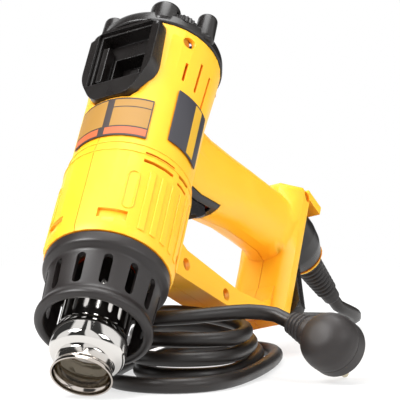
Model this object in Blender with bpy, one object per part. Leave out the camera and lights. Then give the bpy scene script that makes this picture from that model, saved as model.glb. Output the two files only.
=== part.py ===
"""Corded hot air tool with a D handle, a swing-out stand, and its rubber mains lead.

Sizes are in millimetres, in the tool's own frame: X runs along the barrel to the nozzle, Y to the
tool's left, Z to its top, and the origin is on the barrel's axis. One empty turns that frame to
the pose the tool rests in, with its nozzle on the floor and its handle base on the coiled lead.
"""
import math

import bmesh
import bpy
from mathutils import Matrix, Vector

MM = 0.001
GAP = 0.3               # clearance between neighbouring pieces
FIT = 0.05              # running clearance of the turning shafts
SIDES = 32              # facets round the barrel
FACET = math.cos(math.pi / SIDES)

# Rest pose
PITCH = 45.26           # nose down
ROLL = 19.25            # leaning to the tool's right

# Yellow housing
REAR_X = 17.5
FRONT_X = 176.9
REAR_R = 37.4
LABEL_R = 35.2
FRONT_R = 36.8
LIP_R = 35.9
WALL = 2.6
COLLAR_LENGTH = 6.5     # rear band of the housing
TAPER_X = 60.0          # where the rear taper ends
SHOULDER_X = 108.0
SHOULDER_LENGTH = 10.0
SEAM = 0.15             # half the gap between the two housing halves

# D handle
GRIP_WIDTH = 34.0
BASE_Z = -159.0
BASE_REAR_X = -10.0
BASE_WIDTH = 40.0
STRUT_WIDTH = 23.0
STRUT_REAR_X = 60.0     # screws ahead of this go through the strut

# Front guard and nozzle
GUARD_R = 35.3
GUARD_WAIST_R = 31.8
GUARD_NOSE_R = 32.7
GUARD_FRONT_X = 219.3
GUARD_MOUTH_R = 27.0
GUARD_WALL = 2.6
SLOTS = 13
SLOT_WIDTH = 5.4
SLOT_START = 0.285       # where the slots start and how long they are, as shares of the guard's length
SLOT_SHARE = 0.475
NOZZLE_TIP_X = 249.4
NOZZLE_RIM_R = 17.0
NOZZLE_NECK_R = 15.4
NOZZLE_R = 20.8
SLEEVE_R = 19.0
NOZZLE_WALL = 0.9
NOZZLE_REAR_X = 158.0
WINDINGS = 9

# Rear cap, feet and dial
CAP_REAR_X = 2.5
CAP_R = 38.5
# Feet of the rear cap, as (degrees from the top, radius of its place, foot radius, rear X)
FEET = ((-79.0, 34.4, 6.0, -3.5), (-34.0, 32.0, 6.5, 0.0), (33.0, 29.6, 9.0, -1.0), (79.0, 34.4, 6.0, -5.0))
DIAL_R = 10.5
DIAL_RING_R = 26.3
DIAL_ANGLE = 55.0
DIAL_X = 5.0
DIAL_WIDTH = 6.0
DIAL_TEETH = 26

# Frame and tray on top
FRAME_REAR_X = 18.0
FRAME_FRONT_X = 76.0
FRAME_WIDTH = 47.0
FRAME_TOP_Z = 37.2
FRAME_SEAT_Z = 31.0      # flat land cut in the housing for the frame
FRAME_CORNER = 19.0
TRAY_REAR_X = 22.0
TRAY_FRONT_X = 61.0
TRAY_WIDTH = 33.0
TRAY_FLOOR_Z = 17.0
TRAY_STEP_X = 32.0
TRAY_STEP_Z = 25.0
TRAY_WALL = 1.6
LEDGE = 5.0

# Motor and fan
MOTOR_R = 17.5
MOTOR_REAR_X = 88.0
MOTOR_FRONT_X = 126.0
SHAFT_R = 1.6
FAN_R = 29.5
FAN_REAR_X = 70.0
FAN_FRONT_X = 83.0
BLADES = 9

# Stand, strain relief and lead
HUB_X = 12.0
HUB_R = 18.0
HUB_LENGTH = 32.0
HUB_BORE_R = 10.6
ARM_LENGTH = 76.0
ARM_WIDTH = 13.0
ARM_THICKNESS = 9.0
ARM_ANGLE = 14.0
RELIEF_R = 9.0
RELIEF_LENGTH = 40.0
RIBS = 9
CORD_D = 8.6
COIL_SIDES_TURN = 24
COIL_TURNS = 4
LAYER = 9.8

# Plug
PLUG_R = 16.8
PLUG_DEPTH = 27.0
PIN_R = 2.4
PIN_LENGTH = 19.0
PIN_SPACING = 19.0

# Screws through the housing, as (X, Z)
SCREWS = ((25.4, 17.2), (25.0, -24.0), (131.0, -54.0), (118.5, -98.5), (-3.6, -153.8))
SCREW_HEAD_R = 3.4
SCREW_SHANK_R = 1.5
BOSS_R = 4.2

COLOURS = {
    "yellow": ((0.95, 0.62, 0.02, 1), 0.35, 0.0),
    "black": ((0.035, 0.033, 0.035, 1), 0.5, 0.0),
    "rubber": ((0.03, 0.028, 0.028, 1), 0.7, 0.0),
    "chrome": ((0.8, 0.8, 0.8, 1), 0.08, 1.0),
    "steel": ((0.5, 0.5, 0.5, 1), 0.35, 1.0),
    "brass": ((0.75, 0.58, 0.28, 1), 0.3, 1.0),
    "ceramic": ((0.75, 0.70, 0.62, 1), 0.8, 0.0),
    "element": ((0.35, 0.24, 0.18, 1), 0.5, 1.0),
    "board": ((0.06, 0.22, 0.09, 1), 0.5, 0.0),
    "label": ((0.60, 0.47, 0.27, 1), 0.5, 0.0),
}


def material(kind):
    """One Principled material for each colour in the table."""
    found = bpy.data.materials.get(kind)
    if found:
        return found
    colour, roughness, metallic = COLOURS[kind]
    made = bpy.data.materials.new(kind)
    made.use_nodes = True
    shader = made.node_tree.nodes["Principled BSDF"]
    shader.inputs["Base Color"].default_value = colour
    shader.inputs["Roughness"].default_value = roughness
    shader.inputs["Metallic"].default_value = metallic
    return made


def empty(name, parent=None):
    made = bpy.data.objects.new(name, None)
    bpy.context.collection.objects.link(made)
    made.parent = parent
    return made


def mesh_object(name, kind, points, faces, parent, smooth=True):
    """An object from points in millimetres, with its faces turned outwards."""
    mesh = bpy.data.meshes.new(name)
    shape = bmesh.new()
    corners = [shape.verts.new(Vector(p) * MM) for p in points]
    for face in faces:
        shape.faces.new([corners[i] for i in face])
    bmesh.ops.recalc_face_normals(shape, faces=shape.faces)
    shape.to_mesh(mesh)
    shape.free()
    made = bpy.data.objects.new(name, mesh)
    bpy.context.collection.objects.link(made)
    made.data.materials.append(material(kind))
    made.parent = parent
    if smooth:
        mesh.shade_smooth()
        mesh.set_sharp_from_angle(angle=math.radians(30))
    return made


def loft(name, kind, rings, parent, smooth=True):
    """A closed solid through rings of equally many points, with a cap at each end."""
    count = len(rings[0])
    points = [p for ring in rings for p in ring]
    faces = [list(range(count))]
    for k in range(len(rings) - 1):
        for i in range(count):
            j = (i + 1) % count
            faces.append((k * count + i, k * count + j, (k + 1) * count + j, (k + 1) * count + i))
    faces.append(list(range((len(rings) - 1) * count, len(rings) * count)))
    return mesh_object(name, kind, points, faces, parent, smooth)


def turned(name, kind, profile, parent, sides=SIDES, axis="X", centre=(0, 0, 0)):
    """A turned solid. The profile is a closed outline of (along, radius) points."""
    points = []
    rows = []
    for along, radius in profile:
        if radius < 1e-6:
            rows.append([len(points)] * sides)
            points.append(place(along, 0, 0, axis, centre))
            continue
        rows.append(list(range(len(points), len(points) + sides)))
        for i in range(sides):
            a = 2 * math.pi * i / sides
            points.append(place(along, radius * math.sin(a), radius * math.cos(a), axis, centre))
    faces = []
    for k in range(len(rows)):
        low, high = rows[k], rows[(k + 1) % len(rows)]
        if low[0] == low[1] and high[0] == high[1]:
            continue
        for i in range(sides):
            j = (i + 1) % sides
            corners = [low[i], low[j], high[j], high[i]]
            faces.append(sorted(set(corners), key=corners.index))
    return mesh_object(name, kind, points, faces, parent)


def place(along, across, up, axis, centre):
    """A point given along and square to an axis, moved to a centre."""
    offset = {"X": (along, across, up), "Y": (across, along, up), "Z": (across, up, along)}[axis]
    return tuple(c + o for c, o in zip(centre, offset))


def rod(name, kind, radius, start, end, parent, sides=16, axis="X", centre=(0, 0, 0)):
    profile = ((start, 0), (start, radius), (end, radius), (end, 0))
    return turned(name, kind, profile, parent, sides, axis, centre)


def prism(name, kind, outline, start, end, parent, axis="Y", smooth=False):
    """An outline pushed along Y, as (X, Z) points, or along Z, as (X, Y) points."""
    rings = []
    for along in (start, end):
        if axis == "Y":
            rings.append([(a, along, b) for a, b in outline])
        else:
            rings.append([(a, b, along) for a, b in outline])
    return loft(name, kind, rings, parent, smooth)


def block(name, kind, low, high, parent):
    outline = ((low[0], low[2]), (high[0], low[2]), (high[0], high[2]), (low[0], high[2]))
    return prism(name, kind, outline, low[1], high[1], parent)


def sector(name, kind, x, radius, degrees, parent, steps=8):
    """A curved plate on the barrel, between two X values, two radii and two angles from the top."""
    rings = []
    for i in range(steps + 1):
        a = math.radians(degrees[0] + (degrees[1] - degrees[0]) * i / steps)
        rings.append([(along, r * math.sin(a), r * math.cos(a))
                      for along, r in ((x[0], radius[0]), (x[1], radius[0]),
                                       (x[1], radius[1]), (x[0], radius[1]))])
    return loft(name, kind, rings, parent)


def joined(name, pieces):
    """Several separate solids as one object."""
    shape = bmesh.new()
    for piece in pieces:
        shape.from_mesh(piece.data)
    shape.to_mesh(pieces[0].data)
    shape.free()
    for piece in pieces[1:]:
        bpy.data.objects.remove(piece)
    pieces[0].name = name
    return pieces[0]


def apply_boolean(target, tool, operation):
    change = target.modifiers.new(tool.name, "BOOLEAN")
    change.operation = operation
    change.solver = "EXACT"
    change.object = tool
    tool.hide_render = True
    tool.display_type = "WIRE"


def cut(target, *tools):
    for tool in tools:
        apply_boolean(target, tool, "DIFFERENCE")


def add(target, *tools):
    for tool in tools:
        apply_boolean(target, tool, "UNION")


def weld(target):
    """Close the hairline splits that a Boolean leaves where its cuts run close together."""
    change = target.modifiers.new("weld", "WELD")
    change.merge_threshold = 0.00002


def oval(centre_x, half_length, half_width, z, count=20, power=2.4):
    """A rounded section of the grip in a level plane."""
    ring = []
    for i in range(count):
        a = 2 * math.pi * i / count
        c, s = math.cos(a), math.sin(a)
        ring.append((centre_x + half_length * math.copysign(abs(c) ** (2 / power), c),
                     half_width * math.copysign(abs(s) ** (2 / power), s), z))
    return ring


def barrel_outline(inset):
    """Outer line of the barrel, or its bore when inset by the wall."""
    overshoot = 1.0 if inset else 0.0
    return ((REAR_X - overshoot, 0),
            (REAR_X - overshoot, REAR_R - inset),
            (REAR_X + COLLAR_LENGTH, REAR_R - inset),
            (TAPER_X, LABEL_R - inset),
            (SHOULDER_X, LABEL_R - inset),
            (SHOULDER_X + SHOULDER_LENGTH, FRONT_R - inset),
            (FRONT_X - 5.0, FRONT_R - inset),
            (FRONT_X, LIP_R - inset),
            (FRONT_X + overshoot, LIP_R - inset),
            (FRONT_X + overshoot, 0))


def grip_rings(inset):
    """Sections down the grip, as (Z, centre X, half length), raked back to the base."""
    half = GRIP_WIDTH / 2 - inset
    sections = ((-14.0, 62.0, 29.0), (-34.0, 61.0, 28.5), (-52.0, 57.8, 28.0), (-76.0, 48.8, 26.2),
                (-100.0, 38.6, 24.0), (-122.0, 31.0, 23.6), (-138.0, 25.6, 24.0), (BASE_Z + WALL + 3.0, 24.0, 27.0))
    return [oval(x, length - inset, half, z) for z, x, length in sections]


def base_rings(inset):
    """Sections along the base: crowned at its rear, and a flat bar where the hand goes through."""
    rings = []
    half = BASE_WIDTH / 2 - inset
    low = BASE_Z + inset
    round_off = 2.5
    for x, shrink, edge, crown, top_half, narrow in BASE_SECTIONS:
        x += inset if x < 0 else -inset if x > 50 else 0
        shrink = 0 if inset else shrink
        side, bottom = half - shrink - narrow, low + shrink
        edge_z = BASE_Z + edge - inset - shrink
        top, flat = BASE_Z + crown - inset - shrink, top_half - inset / 2
        rings.append([(x, -side + round_off, bottom), (x, side - round_off, bottom), (x, side, bottom + round_off),
                      (x, side, edge_z), (x, flat, top), (x, -flat, top), (x, -side, edge_z),
                      (x, -side, bottom + round_off)])
    return rings


# X, shrink at the end, height of the side wall, height at the middle, half width of the flat top, and
# how far each side is drawn in to round the rear corners
BASE_SECTIONS = ((BASE_REAR_X, 1.5, 9.5, 17.0, 6.0, 4.0), (BASE_REAR_X + 3, 0.0, 11.0, 20.0, 7.0, 1.2),
                 (BASE_REAR_X + 8, 0.0, 12.0, 22.0, 7.5, 0.0), (20.0, 0.0, 10.5, 20.0, 9.0, 0.0),
                 (46.0, 0.0, 8.5, 12.2, 14.0, 0.0), (94.5, 0.0, 8.5, 12.2, 14.0, 0.0),
                 (97.0, 2.0, 8.5, 12.2, 14.0, 0.0))
STRUT = ((120.0, -26.0), (152.0, -26.0), (145.0, -42.0), (125.0, -100.0), (105.0, -138.0), (97.0, -148.0),
         (74.0, -152.0), (74.0, -146.0), (85.0, -145.0), (93.0, -139.0), (106.0, -111.0), (122.0, -52.0))


def housing_half(name, side, frame):
    """One half of the yellow clamshell: barrel, grip, base, strut and hanging bail in one moulding."""
    shell = turned(name, "yellow", barrel_outline(0), frame)
    tag = name + "_"
    add(shell,
        loft(tag + "grip", "yellow", grip_rings(0), frame),
        loft(tag + "base", "yellow", base_rings(0), frame),
        prism(tag + "strut", "yellow", STRUT, -STRUT_WIDTH / 2, STRUT_WIDTH / 2, frame),
        bail(tag + "bail", frame))
    cut(shell,
        turned(tag + "bore", "yellow", barrel_outline(WALL), frame),
        loft(tag + "grip_bore", "yellow", grip_rings(WALL), frame),
        loft(tag + "base_bore", "yellow", base_rings(WALL), frame))
    add(shell, bosses(tag + "bosses", frame))
    cut(shell,
        openings(tag + "openings", frame),
        vents(tag + "vents", side, frame))
    weld(shell)
    low, high = (SEAM, 80.0) if side > 0 else (-80.0, -SEAM)
    apply_boolean(shell, block(tag + "half", "yellow", (-60, low, -230), (220, high, 80), frame), "INTERSECT")
    weld(shell)
    cut(shell, screw_holes(tag + "holes", side, frame))
    weld(shell)
    return shell


def bail(name, frame):
    """The bar across two legs under the rear of the base, which hangs the tool on a hook."""
    leg_low = BASE_Z - 16.0
    pieces = [block(name, "yellow", (BASE_REAR_X - 3.2, -17.5, leg_low), (BASE_REAR_X + 2.8, 17.5, BASE_Z + 2), frame),
              block(name + "_gap", "yellow", (BASE_REAR_X - 9, -11.5, leg_low + 4.5),
                    (BASE_REAR_X + 3, 11.5, BASE_Z - 1), frame)]
    cut(pieces[0], pieces[1])
    return pieces[0]


def bosses(name, frame):
    """Screw bosses across the barrel behind the fan, and one in the base."""
    pieces = []
    for x, z in SCREWS:
        if STRUT_REAR_X < x:
            continue
        reach = BASE_WIDTH / 2 - 1 if z < -100 else math.sqrt(REAR_R ** 2 - (abs(z) + BOSS_R) ** 2) - 0.6
        pieces.append(rod(name + str(len(pieces)), "yellow", BOSS_R, -reach, reach, frame, 12, "Y", (x, 0, z)))
    return joined(name, pieces)


def openings(name, frame):
    """Cut-outs of the housing for the tray, the trigger and the strain relief."""
    tray = tray_block(name + "_tray", GAP, 60, frame)
    trigger = block(name + "_trigger", "yellow", (60, -TRIGGER_WIDTH / 2 - GAP, TRIGGER_LOW_Z - 1.0),
                    (110, TRIGGER_WIDTH / 2 + GAP, TRIGGER_TOP_Z + 0.8), frame)
    outlet = rod(name + "_outlet", "yellow", RELIEF_R + 0.6 + 1.6 * GAP, BASE_Z - 2, BASE_Z + WALL + 1, frame, 20, "Z",
                 (HUB_X, 0, 0))
    seat = frame_block(name + "_seat", GAP, FRAME_SEAT_Z, 60, frame)
    add(seat, tray)
    switch = bezel_block(name + "_bezel", GAP, frame)
    add(switch, trigger)
    return joined(name, [seat, switch, outlet])


def bezel_block(name, clearance, frame):
    """The space that the switch's black surround takes out of the grip's front."""
    half = BEZEL_HALF + clearance
    return block(name, "yellow", (BEZEL_REAR_X - clearance, -half, BEZEL_LOW_Z - clearance),
                 (110, half, BEZEL_TOP_Z + clearance), frame)


def screw_holes(name, side, frame):
    """Counterbored from the left side, and blind in the right half."""
    pieces = []
    for x, z in SCREWS:
        surface = side_of_housing(x, z)
        shank_end = -min(surface - 4.0, 12.0)
        pieces.append(rod(name + str(len(pieces)), "yellow", SCREW_SHANK_R + 1.5 * GAP, shank_end, surface - 1.0,
                          frame, 10, "Y", (x, 0, z)))
        if side > 0:
            pieces.append(rod(name + str(len(pieces)), "yellow", SCREW_HEAD_R + 1.5 * GAP,
                              surface - 5.0, surface + 4.0, frame, 14, "Y", (x, 0, z)))
    if side < 0:
        return joined(name, pieces)
    shafts = joined(name, pieces[0::2])
    heads = joined(name + "_heads", pieces[1::2])
    add(shafts, heads)
    return shafts


def side_of_housing(x, z):
    """How far out the housing's left side lies at a screw."""
    if x > STRUT_REAR_X:
        return STRUT_WIDTH / 2
    if z < -100:
        return BASE_WIDTH / 2
    return math.sqrt(REAR_R ** 2 - z * z)


def vents(name, side, frame):
    """Air vents: three long slots at the rear and two pairs round the shoulder, on each side."""
    pieces = []
    for centre, start, end in ((65.3, 40.0, 53.5), (81.3, 33.0, 55.0), (96.5, 35.0, 62.0)):
        degrees = (side * (centre - 1.4), side * (centre + 1.4))
        pieces.append(sector(name + str(len(pieces)), "yellow", (start, end), (28, 45), degrees, frame, 1))
    for x in (116.6, 122.0):
        pieces.append(sector(name + str(len(pieces)), "yellow", (x, x + 2.2), (28, 45),
                             (side * 47, side * 77.6), frame, 4))
        pieces.append(sector(name + str(len(pieces)), "yellow", (x + 2.2, x + 4.0), (28, 45),
                             (side * 84.4, side * 99.5), frame, 3))
    return joined(name, pieces)


BEZEL_HALF = 12.2        # half width of the surround
BEZEL_REAR_X = 66.5
BEZEL_TOP_Z = -42.2
BEZEL_LOW_Z = -73.0
BEZEL_BAR = 4.5
TRIGGER_WIDTH = 13.0
PADDLE_WIDTH = 17.2
PADDLE_REAR_X = 80.2
TRIGGER_TOP_Z = -41.0
TRIGGER_LOW_Z = -66.0
TRIGGER_PIVOT = (76.0, 0.0, -45.5)
PIN_TRIGGER_R = 1.5


def trigger_pieces(frame):
    """A ridged switch lever that rocks on a pin across the grip, and the switch behind it."""
    hinge = empty("trigger_axis", frame)
    hinge.location = Vector(TRIGGER_PIVOT) * MM
    px, _, pz = TRIGGER_PIVOT
    outline = ((73.5, -41.8), (86.5, -42.6), (94.0, -47.0), (92.0, -50.5), (93.6, -52.0), (90.0, -56.0),
               (91.4, -57.6), (87.5, -61.4), (82.0, -65.6), (74.0, -63.5), (72.5, -52.0))
    lever = prism("trigger", "black", [(x - px, z - pz) for x, z in outline],
                  -TRIGGER_WIDTH / 2, TRIGGER_WIDTH / 2, hinge)
    front = [(x, z) for x, z in outline if x > PADDLE_REAR_X]
    front = [(PADDLE_REAR_X, front[0][1])] + front + [(PADDLE_REAR_X, front[-1][1])]
    add(lever, prism("trigger_paddle", "black", [(x - px, z - pz) for x, z in front],
                     -PADDLE_WIDTH / 2, PADDLE_WIDTH / 2, hinge))
    cut(lever, rod("trigger_bore", "black", PIN_TRIGGER_R + FIT, -20, 20, hinge, 14, "Y"))
    surround = loft("switch_bezel", "black", grip_rings(0), frame)
    apply_boolean(surround, bezel_block("bezel_region", 0, frame), "INTERSECT")
    opening = PADDLE_WIDTH / 2 + 2 * GAP
    cut(surround, loft("bezel_bore", "black", grip_rings(WALL), frame),
        block("bezel_opening", "black", (40, -opening, BEZEL_LOW_Z + BEZEL_BAR), (110, opening, -30), frame))
    rod("trigger_pin", "steel", PIN_TRIGGER_R, -9.0, 9.0, frame, 14, "Y", TRIGGER_PIVOT)
    switch = block("switch_body", "black", (46.0, -9.2, -70.0), (66.0, 9.2, -43.0), frame)
    add(switch, block("switch_nose", "black", (65.0, -3, -62), (67.5, 3, -56), frame))
    for s in (-1, 1):
        low, high = sorted((s * 7.0, s * 9.2))
        add(switch, block("switch_arm" + str(s), "black", (64.0, low, -49.5), (78.2, high, -43.5), frame))
    cut(switch, rod("switch_bore", "black", PIN_TRIGGER_R + FIT, -9.8, 9.8, frame, 14, "Y", TRIGGER_PIVOT))


def guard(frame):
    """The black slotted heat guard: a stepped rear flange, a slotted cone and a rolled front lip."""
    x0 = FRONT_X + GAP
    spigot_r = LIP_R - WALL - GAP
    inner = GUARD_WAIST_R - GUARD_WALL
    profile = ((x0 - 5, spigot_r), (x0, spigot_r), (x0, GUARD_R), (x0 + 7, GUARD_R), (x0 + 9.5, GUARD_WAIST_R),
               (GUARD_FRONT_X - 8, GUARD_WAIST_R - 1.2), (GUARD_FRONT_X - 4.5, GUARD_NOSE_R),
               (GUARD_FRONT_X - 1.5, GUARD_NOSE_R), (GUARD_FRONT_X, GUARD_NOSE_R - 3),
               (GUARD_FRONT_X - 1.5, GUARD_MOUTH_R), (GUARD_FRONT_X - 5, inner - 1.2), (x0 - 5, inner))
    body = turned("front_guard", "black", profile, frame)
    start = x0 + SLOT_START * (GUARD_FRONT_X - x0)
    length = SLOT_SHARE * (GUARD_FRONT_X - x0)
    pieces = []
    for i in range(SLOTS):
        a = 2 * math.pi * (i + 0.35) / SLOTS
        out = Vector((0, math.sin(a), math.cos(a)))
        side = Vector((0, math.cos(a), -math.sin(a))) * SLOT_WIDTH / 2
        rings = []
        for x, share in ((start, 0.5), (start + 1.8, 1.0), (start + length - 1.8, 1.0),
                         (start + length, 0.5)):
            middle = Vector((x, 0, 0))
            rings.append([tuple(middle + out * r + side * s * share)
                          for r, s in ((24, -1), (24, 1), (40, 1), (40, -1))])
        pieces.append(loft("guard_slot" + str(i), "black", rings, frame, False))
    cut(body, joined("guard_slots", pieces))


def nozzle_outline():
    """Outer line of the chromed tube, from its rear end to the rolled rim at the mouth."""
    tip = NOZZLE_TIP_X
    return ((NOZZLE_REAR_X, SLEEVE_R), (tip - 28.0, SLEEVE_R), (tip - 25.0, NOZZLE_R - 0.4),
            (tip - 23.0, NOZZLE_R), (tip - 15.0, NOZZLE_R), (tip - 12.5, NOZZLE_R - 1.2),
            (tip - 10.5, NOZZLE_NECK_R + 0.8), (tip - 9.0, NOZZLE_NECK_R), (tip - 3.5, NOZZLE_NECK_R + 0.4),
            (tip - 1.4, NOZZLE_RIM_R), (tip, NOZZLE_RIM_R))


def heater(frame):
    """The chromed outlet tube, its seat in the barrel, and the wound ceramic core inside it."""
    outer = nozzle_outline()
    inner = [(x, r - NOZZLE_WALL) for x, r in reversed(outer)]
    turned("nozzle_tube", "chrome", list(outer) + inner, frame, 26)
    bore = (FRONT_R - WALL) * FACET - GAP
    seat_r = SLEEVE_R + GAP
    seat_x = NOZZLE_REAR_X + 4.0
    turned("heater_seat", "ceramic", ((seat_x, seat_r), (seat_x, bore), (seat_x + 5, bore), (seat_x + 5, seat_r)),
           frame, 32)
    sleeve_r = SLEEVE_R - NOZZLE_WALL - 1.5 * GAP
    end = NOZZLE_TIP_X - 30.0
    turned("mica_sleeve", "label", ((NOZZLE_REAR_X + 2, sleeve_r - 0.7), (NOZZLE_REAR_X + 2, sleeve_r),
                                    (end, sleeve_r), (end, sleeve_r - 0.7)), frame, 24)
    winding_r = sleeve_r - 0.7 - GAP
    rings = ((NOZZLE_REAR_X + 8, winding_r - 2.2),)
    profile = list(rings)
    pitch = (end - 6 - NOZZLE_REAR_X - 10) / WINDINGS
    for i in range(WINDINGS):
        x = NOZZLE_REAR_X + 9 + i * pitch
        profile += [(x, winding_r - 1.2), (x + pitch / 2, winding_r)]
    profile.append((end - 6, winding_r - 2.2))
    turned("heating_element", "element", profile, frame, 14)
    core_r = (winding_r - 2.2) * math.cos(math.pi / 14) - GAP
    core = rod("heater_core", "ceramic", core_r, NOZZLE_REAR_X - 4, end - 2, frame, 20)
    bores = []
    for i in range(4):
        a = math.radians(45 + 90 * i)
        bores.append(rod("core_bore" + str(i), "ceramic", core_r * 0.28, NOZZLE_REAR_X - 10, end + 6, frame, 8, "X",
                         (0, core_r * 0.55 * math.sin(a), core_r * 0.55 * math.cos(a))))
    cut(core, joined("core_bores", bores))
    spider_x = NOZZLE_REAR_X - 4
    turned("core_spider", "ceramic", ((spider_x - 2.3, 6.0), (spider_x - 2.3, bore), (spider_x - GAP, bore),
                                      (spider_x - GAP, 6.0)), frame, 24)


def motor(frame):
    """The fan motor in its bracket, with the impeller on its shaft behind it."""
    axis = empty("fan_axis", frame)
    bore = (LABEL_R - WALL) * FACET - GAP
    body = rod("motor_body", "steel", MOTOR_R, MOTOR_REAR_X, MOTOR_FRONT_X, frame, 24)
    cut(body, rod("motor_bore", "steel", SHAFT_R + 1.2 + GAP, MOTOR_REAR_X - 5, MOTOR_REAR_X + 30, frame, 12))
    turned("motor_bush", "brass", ((MOTOR_REAR_X, SHAFT_R + FIT), (MOTOR_REAR_X, SHAFT_R + 1.2),
                                   (MOTOR_REAR_X + 6, SHAFT_R + 1.2), (MOTOR_REAR_X + 6, SHAFT_R + FIT)), frame, 16)
    plate_x = MOTOR_REAR_X + 8
    bracket = turned("motor_bracket", "black", ((plate_x, MOTOR_R + GAP), (plate_x, bore), (plate_x + 4, bore),
                                                (plate_x + 4, MOTOR_R + GAP)), frame, 32)
    windows = []
    for i in range(6):
        windows.append(sector("bracket_window" + str(i), "black", (plate_x - 2, plate_x + 6),
                              (MOTOR_R + 4, bore - 3), (60 * i + 8, 60 * i + 52), frame, 3))
    cut(bracket, joined("bracket_windows", windows))
    rod("motor_shaft", "steel", SHAFT_R, FAN_REAR_X - 2, MOTOR_REAR_X + 25, axis, 16)
    hub_r = 6.0
    wheel = turned("fan_impeller", "black", ((FAN_REAR_X, SHAFT_R + GAP), (FAN_REAR_X, hub_r),
                                             (FAN_FRONT_X - 3, hub_r + 2), (FAN_FRONT_X - 2, FAN_R),
                                             (FAN_FRONT_X, FAN_R), (FAN_FRONT_X, SHAFT_R + GAP)), axis, 24)
    blades = []
    for i in range(BLADES):
        a = 2 * math.pi * i / BLADES
        rings = []
        for r, lead in ((hub_r - 2, 0.0), (16.0, 0.22), (FAN_R - 0.5, 0.6)):
            start = a + lead
            out = Vector((0, math.sin(start), math.cos(start)))
            side = Vector((0, math.cos(start), -math.sin(start))) * 0.8
            rings.append([tuple(Vector((x, 0, 0)) + out * r + side * s)
                          for x, s in ((FAN_REAR_X + 1, -1), (FAN_FRONT_X - 1.5, -1),
                                       (FAN_FRONT_X - 1.5, 1), (FAN_REAR_X + 1, 1))])
        blades.append(loft("blade" + str(i), "black", rings, axis, False))
    add(wheel, joined("blades", blades))
    board_z = -26.0
    half = math.sqrt(bore ** 2 - board_z ** 2) - 0.2
    block("control_board", "board", (103, -half, board_z), (141, half, board_z + 1.6), frame)


def rear_cap(frame):
    """The black intake cap with four feet, and the knurled heat dial between two of them."""
    x1 = REAR_X - GAP
    spigot = REAR_R - WALL - GAP
    profile = ((x1 + 2, spigot - 2), (x1 + 2, spigot), (x1, spigot), (x1, CAP_R), (x1 - 8, CAP_R - 1.1),
               (CAP_REAR_X, CAP_R - 8), (CAP_REAR_X, 0), (CAP_REAR_X + 2.4, 0), (CAP_REAR_X + 2.4, CAP_R - 9.5),
               (x1 - 6, spigot - 2))
    cap = turned("rear_cap", "black", profile, frame)
    feet = []
    for degrees, ring_r, foot_r, rear in FEET:
        a = math.radians(degrees)
        centre = (0, ring_r * math.sin(a), ring_r * math.cos(a))
        outline = ((rear, 0), (rear, foot_r - 1.5), (rear + 1.5, foot_r), (x1 - 2, foot_r), (x1 - 2, 0))
        feet.append(turned("foot" + str(degrees), "black", outline, frame, 10, "X", centre))
    add(cap, joined("feet", feet))
    a = math.radians(DIAL_ANGLE)
    centre = Vector((0, DIAL_RING_R * math.sin(a), DIAL_RING_R * math.cos(a)))
    grille = []
    for row, (low, high, count) in enumerate(((6.0, 12.0, 6), (14.0, 20.0, 10))):
        for i in range(count):
            start = 360 * i / count
            middle = start + 180 / count
            if row and abs(middle - DIAL_ANGLE) < 30:
                continue
            grille.append(sector("grille" + str(row) + str(i), "black", (CAP_REAR_X - 2, CAP_REAR_X + 4), (low, high),
                                 (start + 120 / count, start + 300 / count), frame, 2))
    half = FRAME_WIDTH / 2 + 2 * GAP
    cut(cap, block("cap_notch", "black", (x1, -half, 15), (x1 + 5, half, 60), frame),
        joined("grilles", grille),
        rod("dial_pocket", "black", DIAL_R + 0.8, DIAL_X - 0.8, DIAL_X + DIAL_WIDTH + 0.8, frame, 24, "X", tuple(centre)),
        rod("dial_bore", "black", 2.0 + GAP, DIAL_X - 6, DIAL_X + 16, frame, 12, "X", tuple(centre)))
    axis = empty("dial_axis", frame)
    axis.location = centre * MM
    teeth = []
    for x in (DIAL_X, DIAL_X + DIAL_WIDTH):
        teeth.append([(x, r * math.sin(t), r * math.cos(t))
                      for k in range(DIAL_TEETH)
                      for r, t in ((DIAL_R, 2 * math.pi * k / DIAL_TEETH),
                                   (DIAL_R - 0.9, 2 * math.pi * (k + 0.5) / DIAL_TEETH))])
    dial = loft("heat_dial", "black", teeth, axis, False)
    add(dial, rod("dial_spindle", "black", 2.0, CAP_REAR_X + 0.3, DIAL_X + DIAL_WIDTH + 4, axis, 12))
    pot_x = DIAL_X + DIAL_WIDTH + 4 + GAP
    block("dial_sensor", "board", (pot_x, centre.y - 4, centre.z - 4), (pot_x + 5, centre.y + 3.5, centre.z + 3.5), frame)


def top_frame(frame):
    """The black frame on top of the barrel with the deep stepped tray let into it."""
    body = frame_block("top_frame", 0, 18.0, FRAME_TOP_Z, frame)
    saddle = turned("saddle", "black", [(x, r + GAP if r else 0) for x, r in barrel_outline(0)], frame)
    cut(saddle, block("saddle_top", "black", (-20, -60, FRAME_SEAT_Z + GAP), (240, 60, 80), frame))
    cut(body, saddle, tray_block("tray_hole", GAP, 60, frame))
    tray = tray_block("top_tray", 0, FRAME_TOP_Z - 2.0, frame)
    half = TRAY_WIDTH / 2
    low = (TRAY_STEP_X + 2, -half + 6, TRAY_FLOOR_Z)
    upper = ((TRAY_REAR_X, -half, TRAY_STEP_Z + 1), (TRAY_FRONT_X, half, 60))
    cut(tray, block("tray_well", "black", low, (TRAY_FRONT_X - LEDGE, half - 4, TRAY_STEP_Z + 5), frame),
        block("tray_mouth", "black", *upper, frame))
    block("tray_bar", "black", (TRAY_REAR_X + 7, -half + GAP, TRAY_STEP_Z + 1 + GAP),
          (TRAY_FRONT_X - 4, -half + 4.5, 33.5), frame)
    block("tray_stud", "black", (TRAY_FRONT_X - 20, -1.5, TRAY_FLOOR_Z + GAP),
          (TRAY_FRONT_X - 12, 4.5, TRAY_FLOOR_Z + 5), frame)


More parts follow.
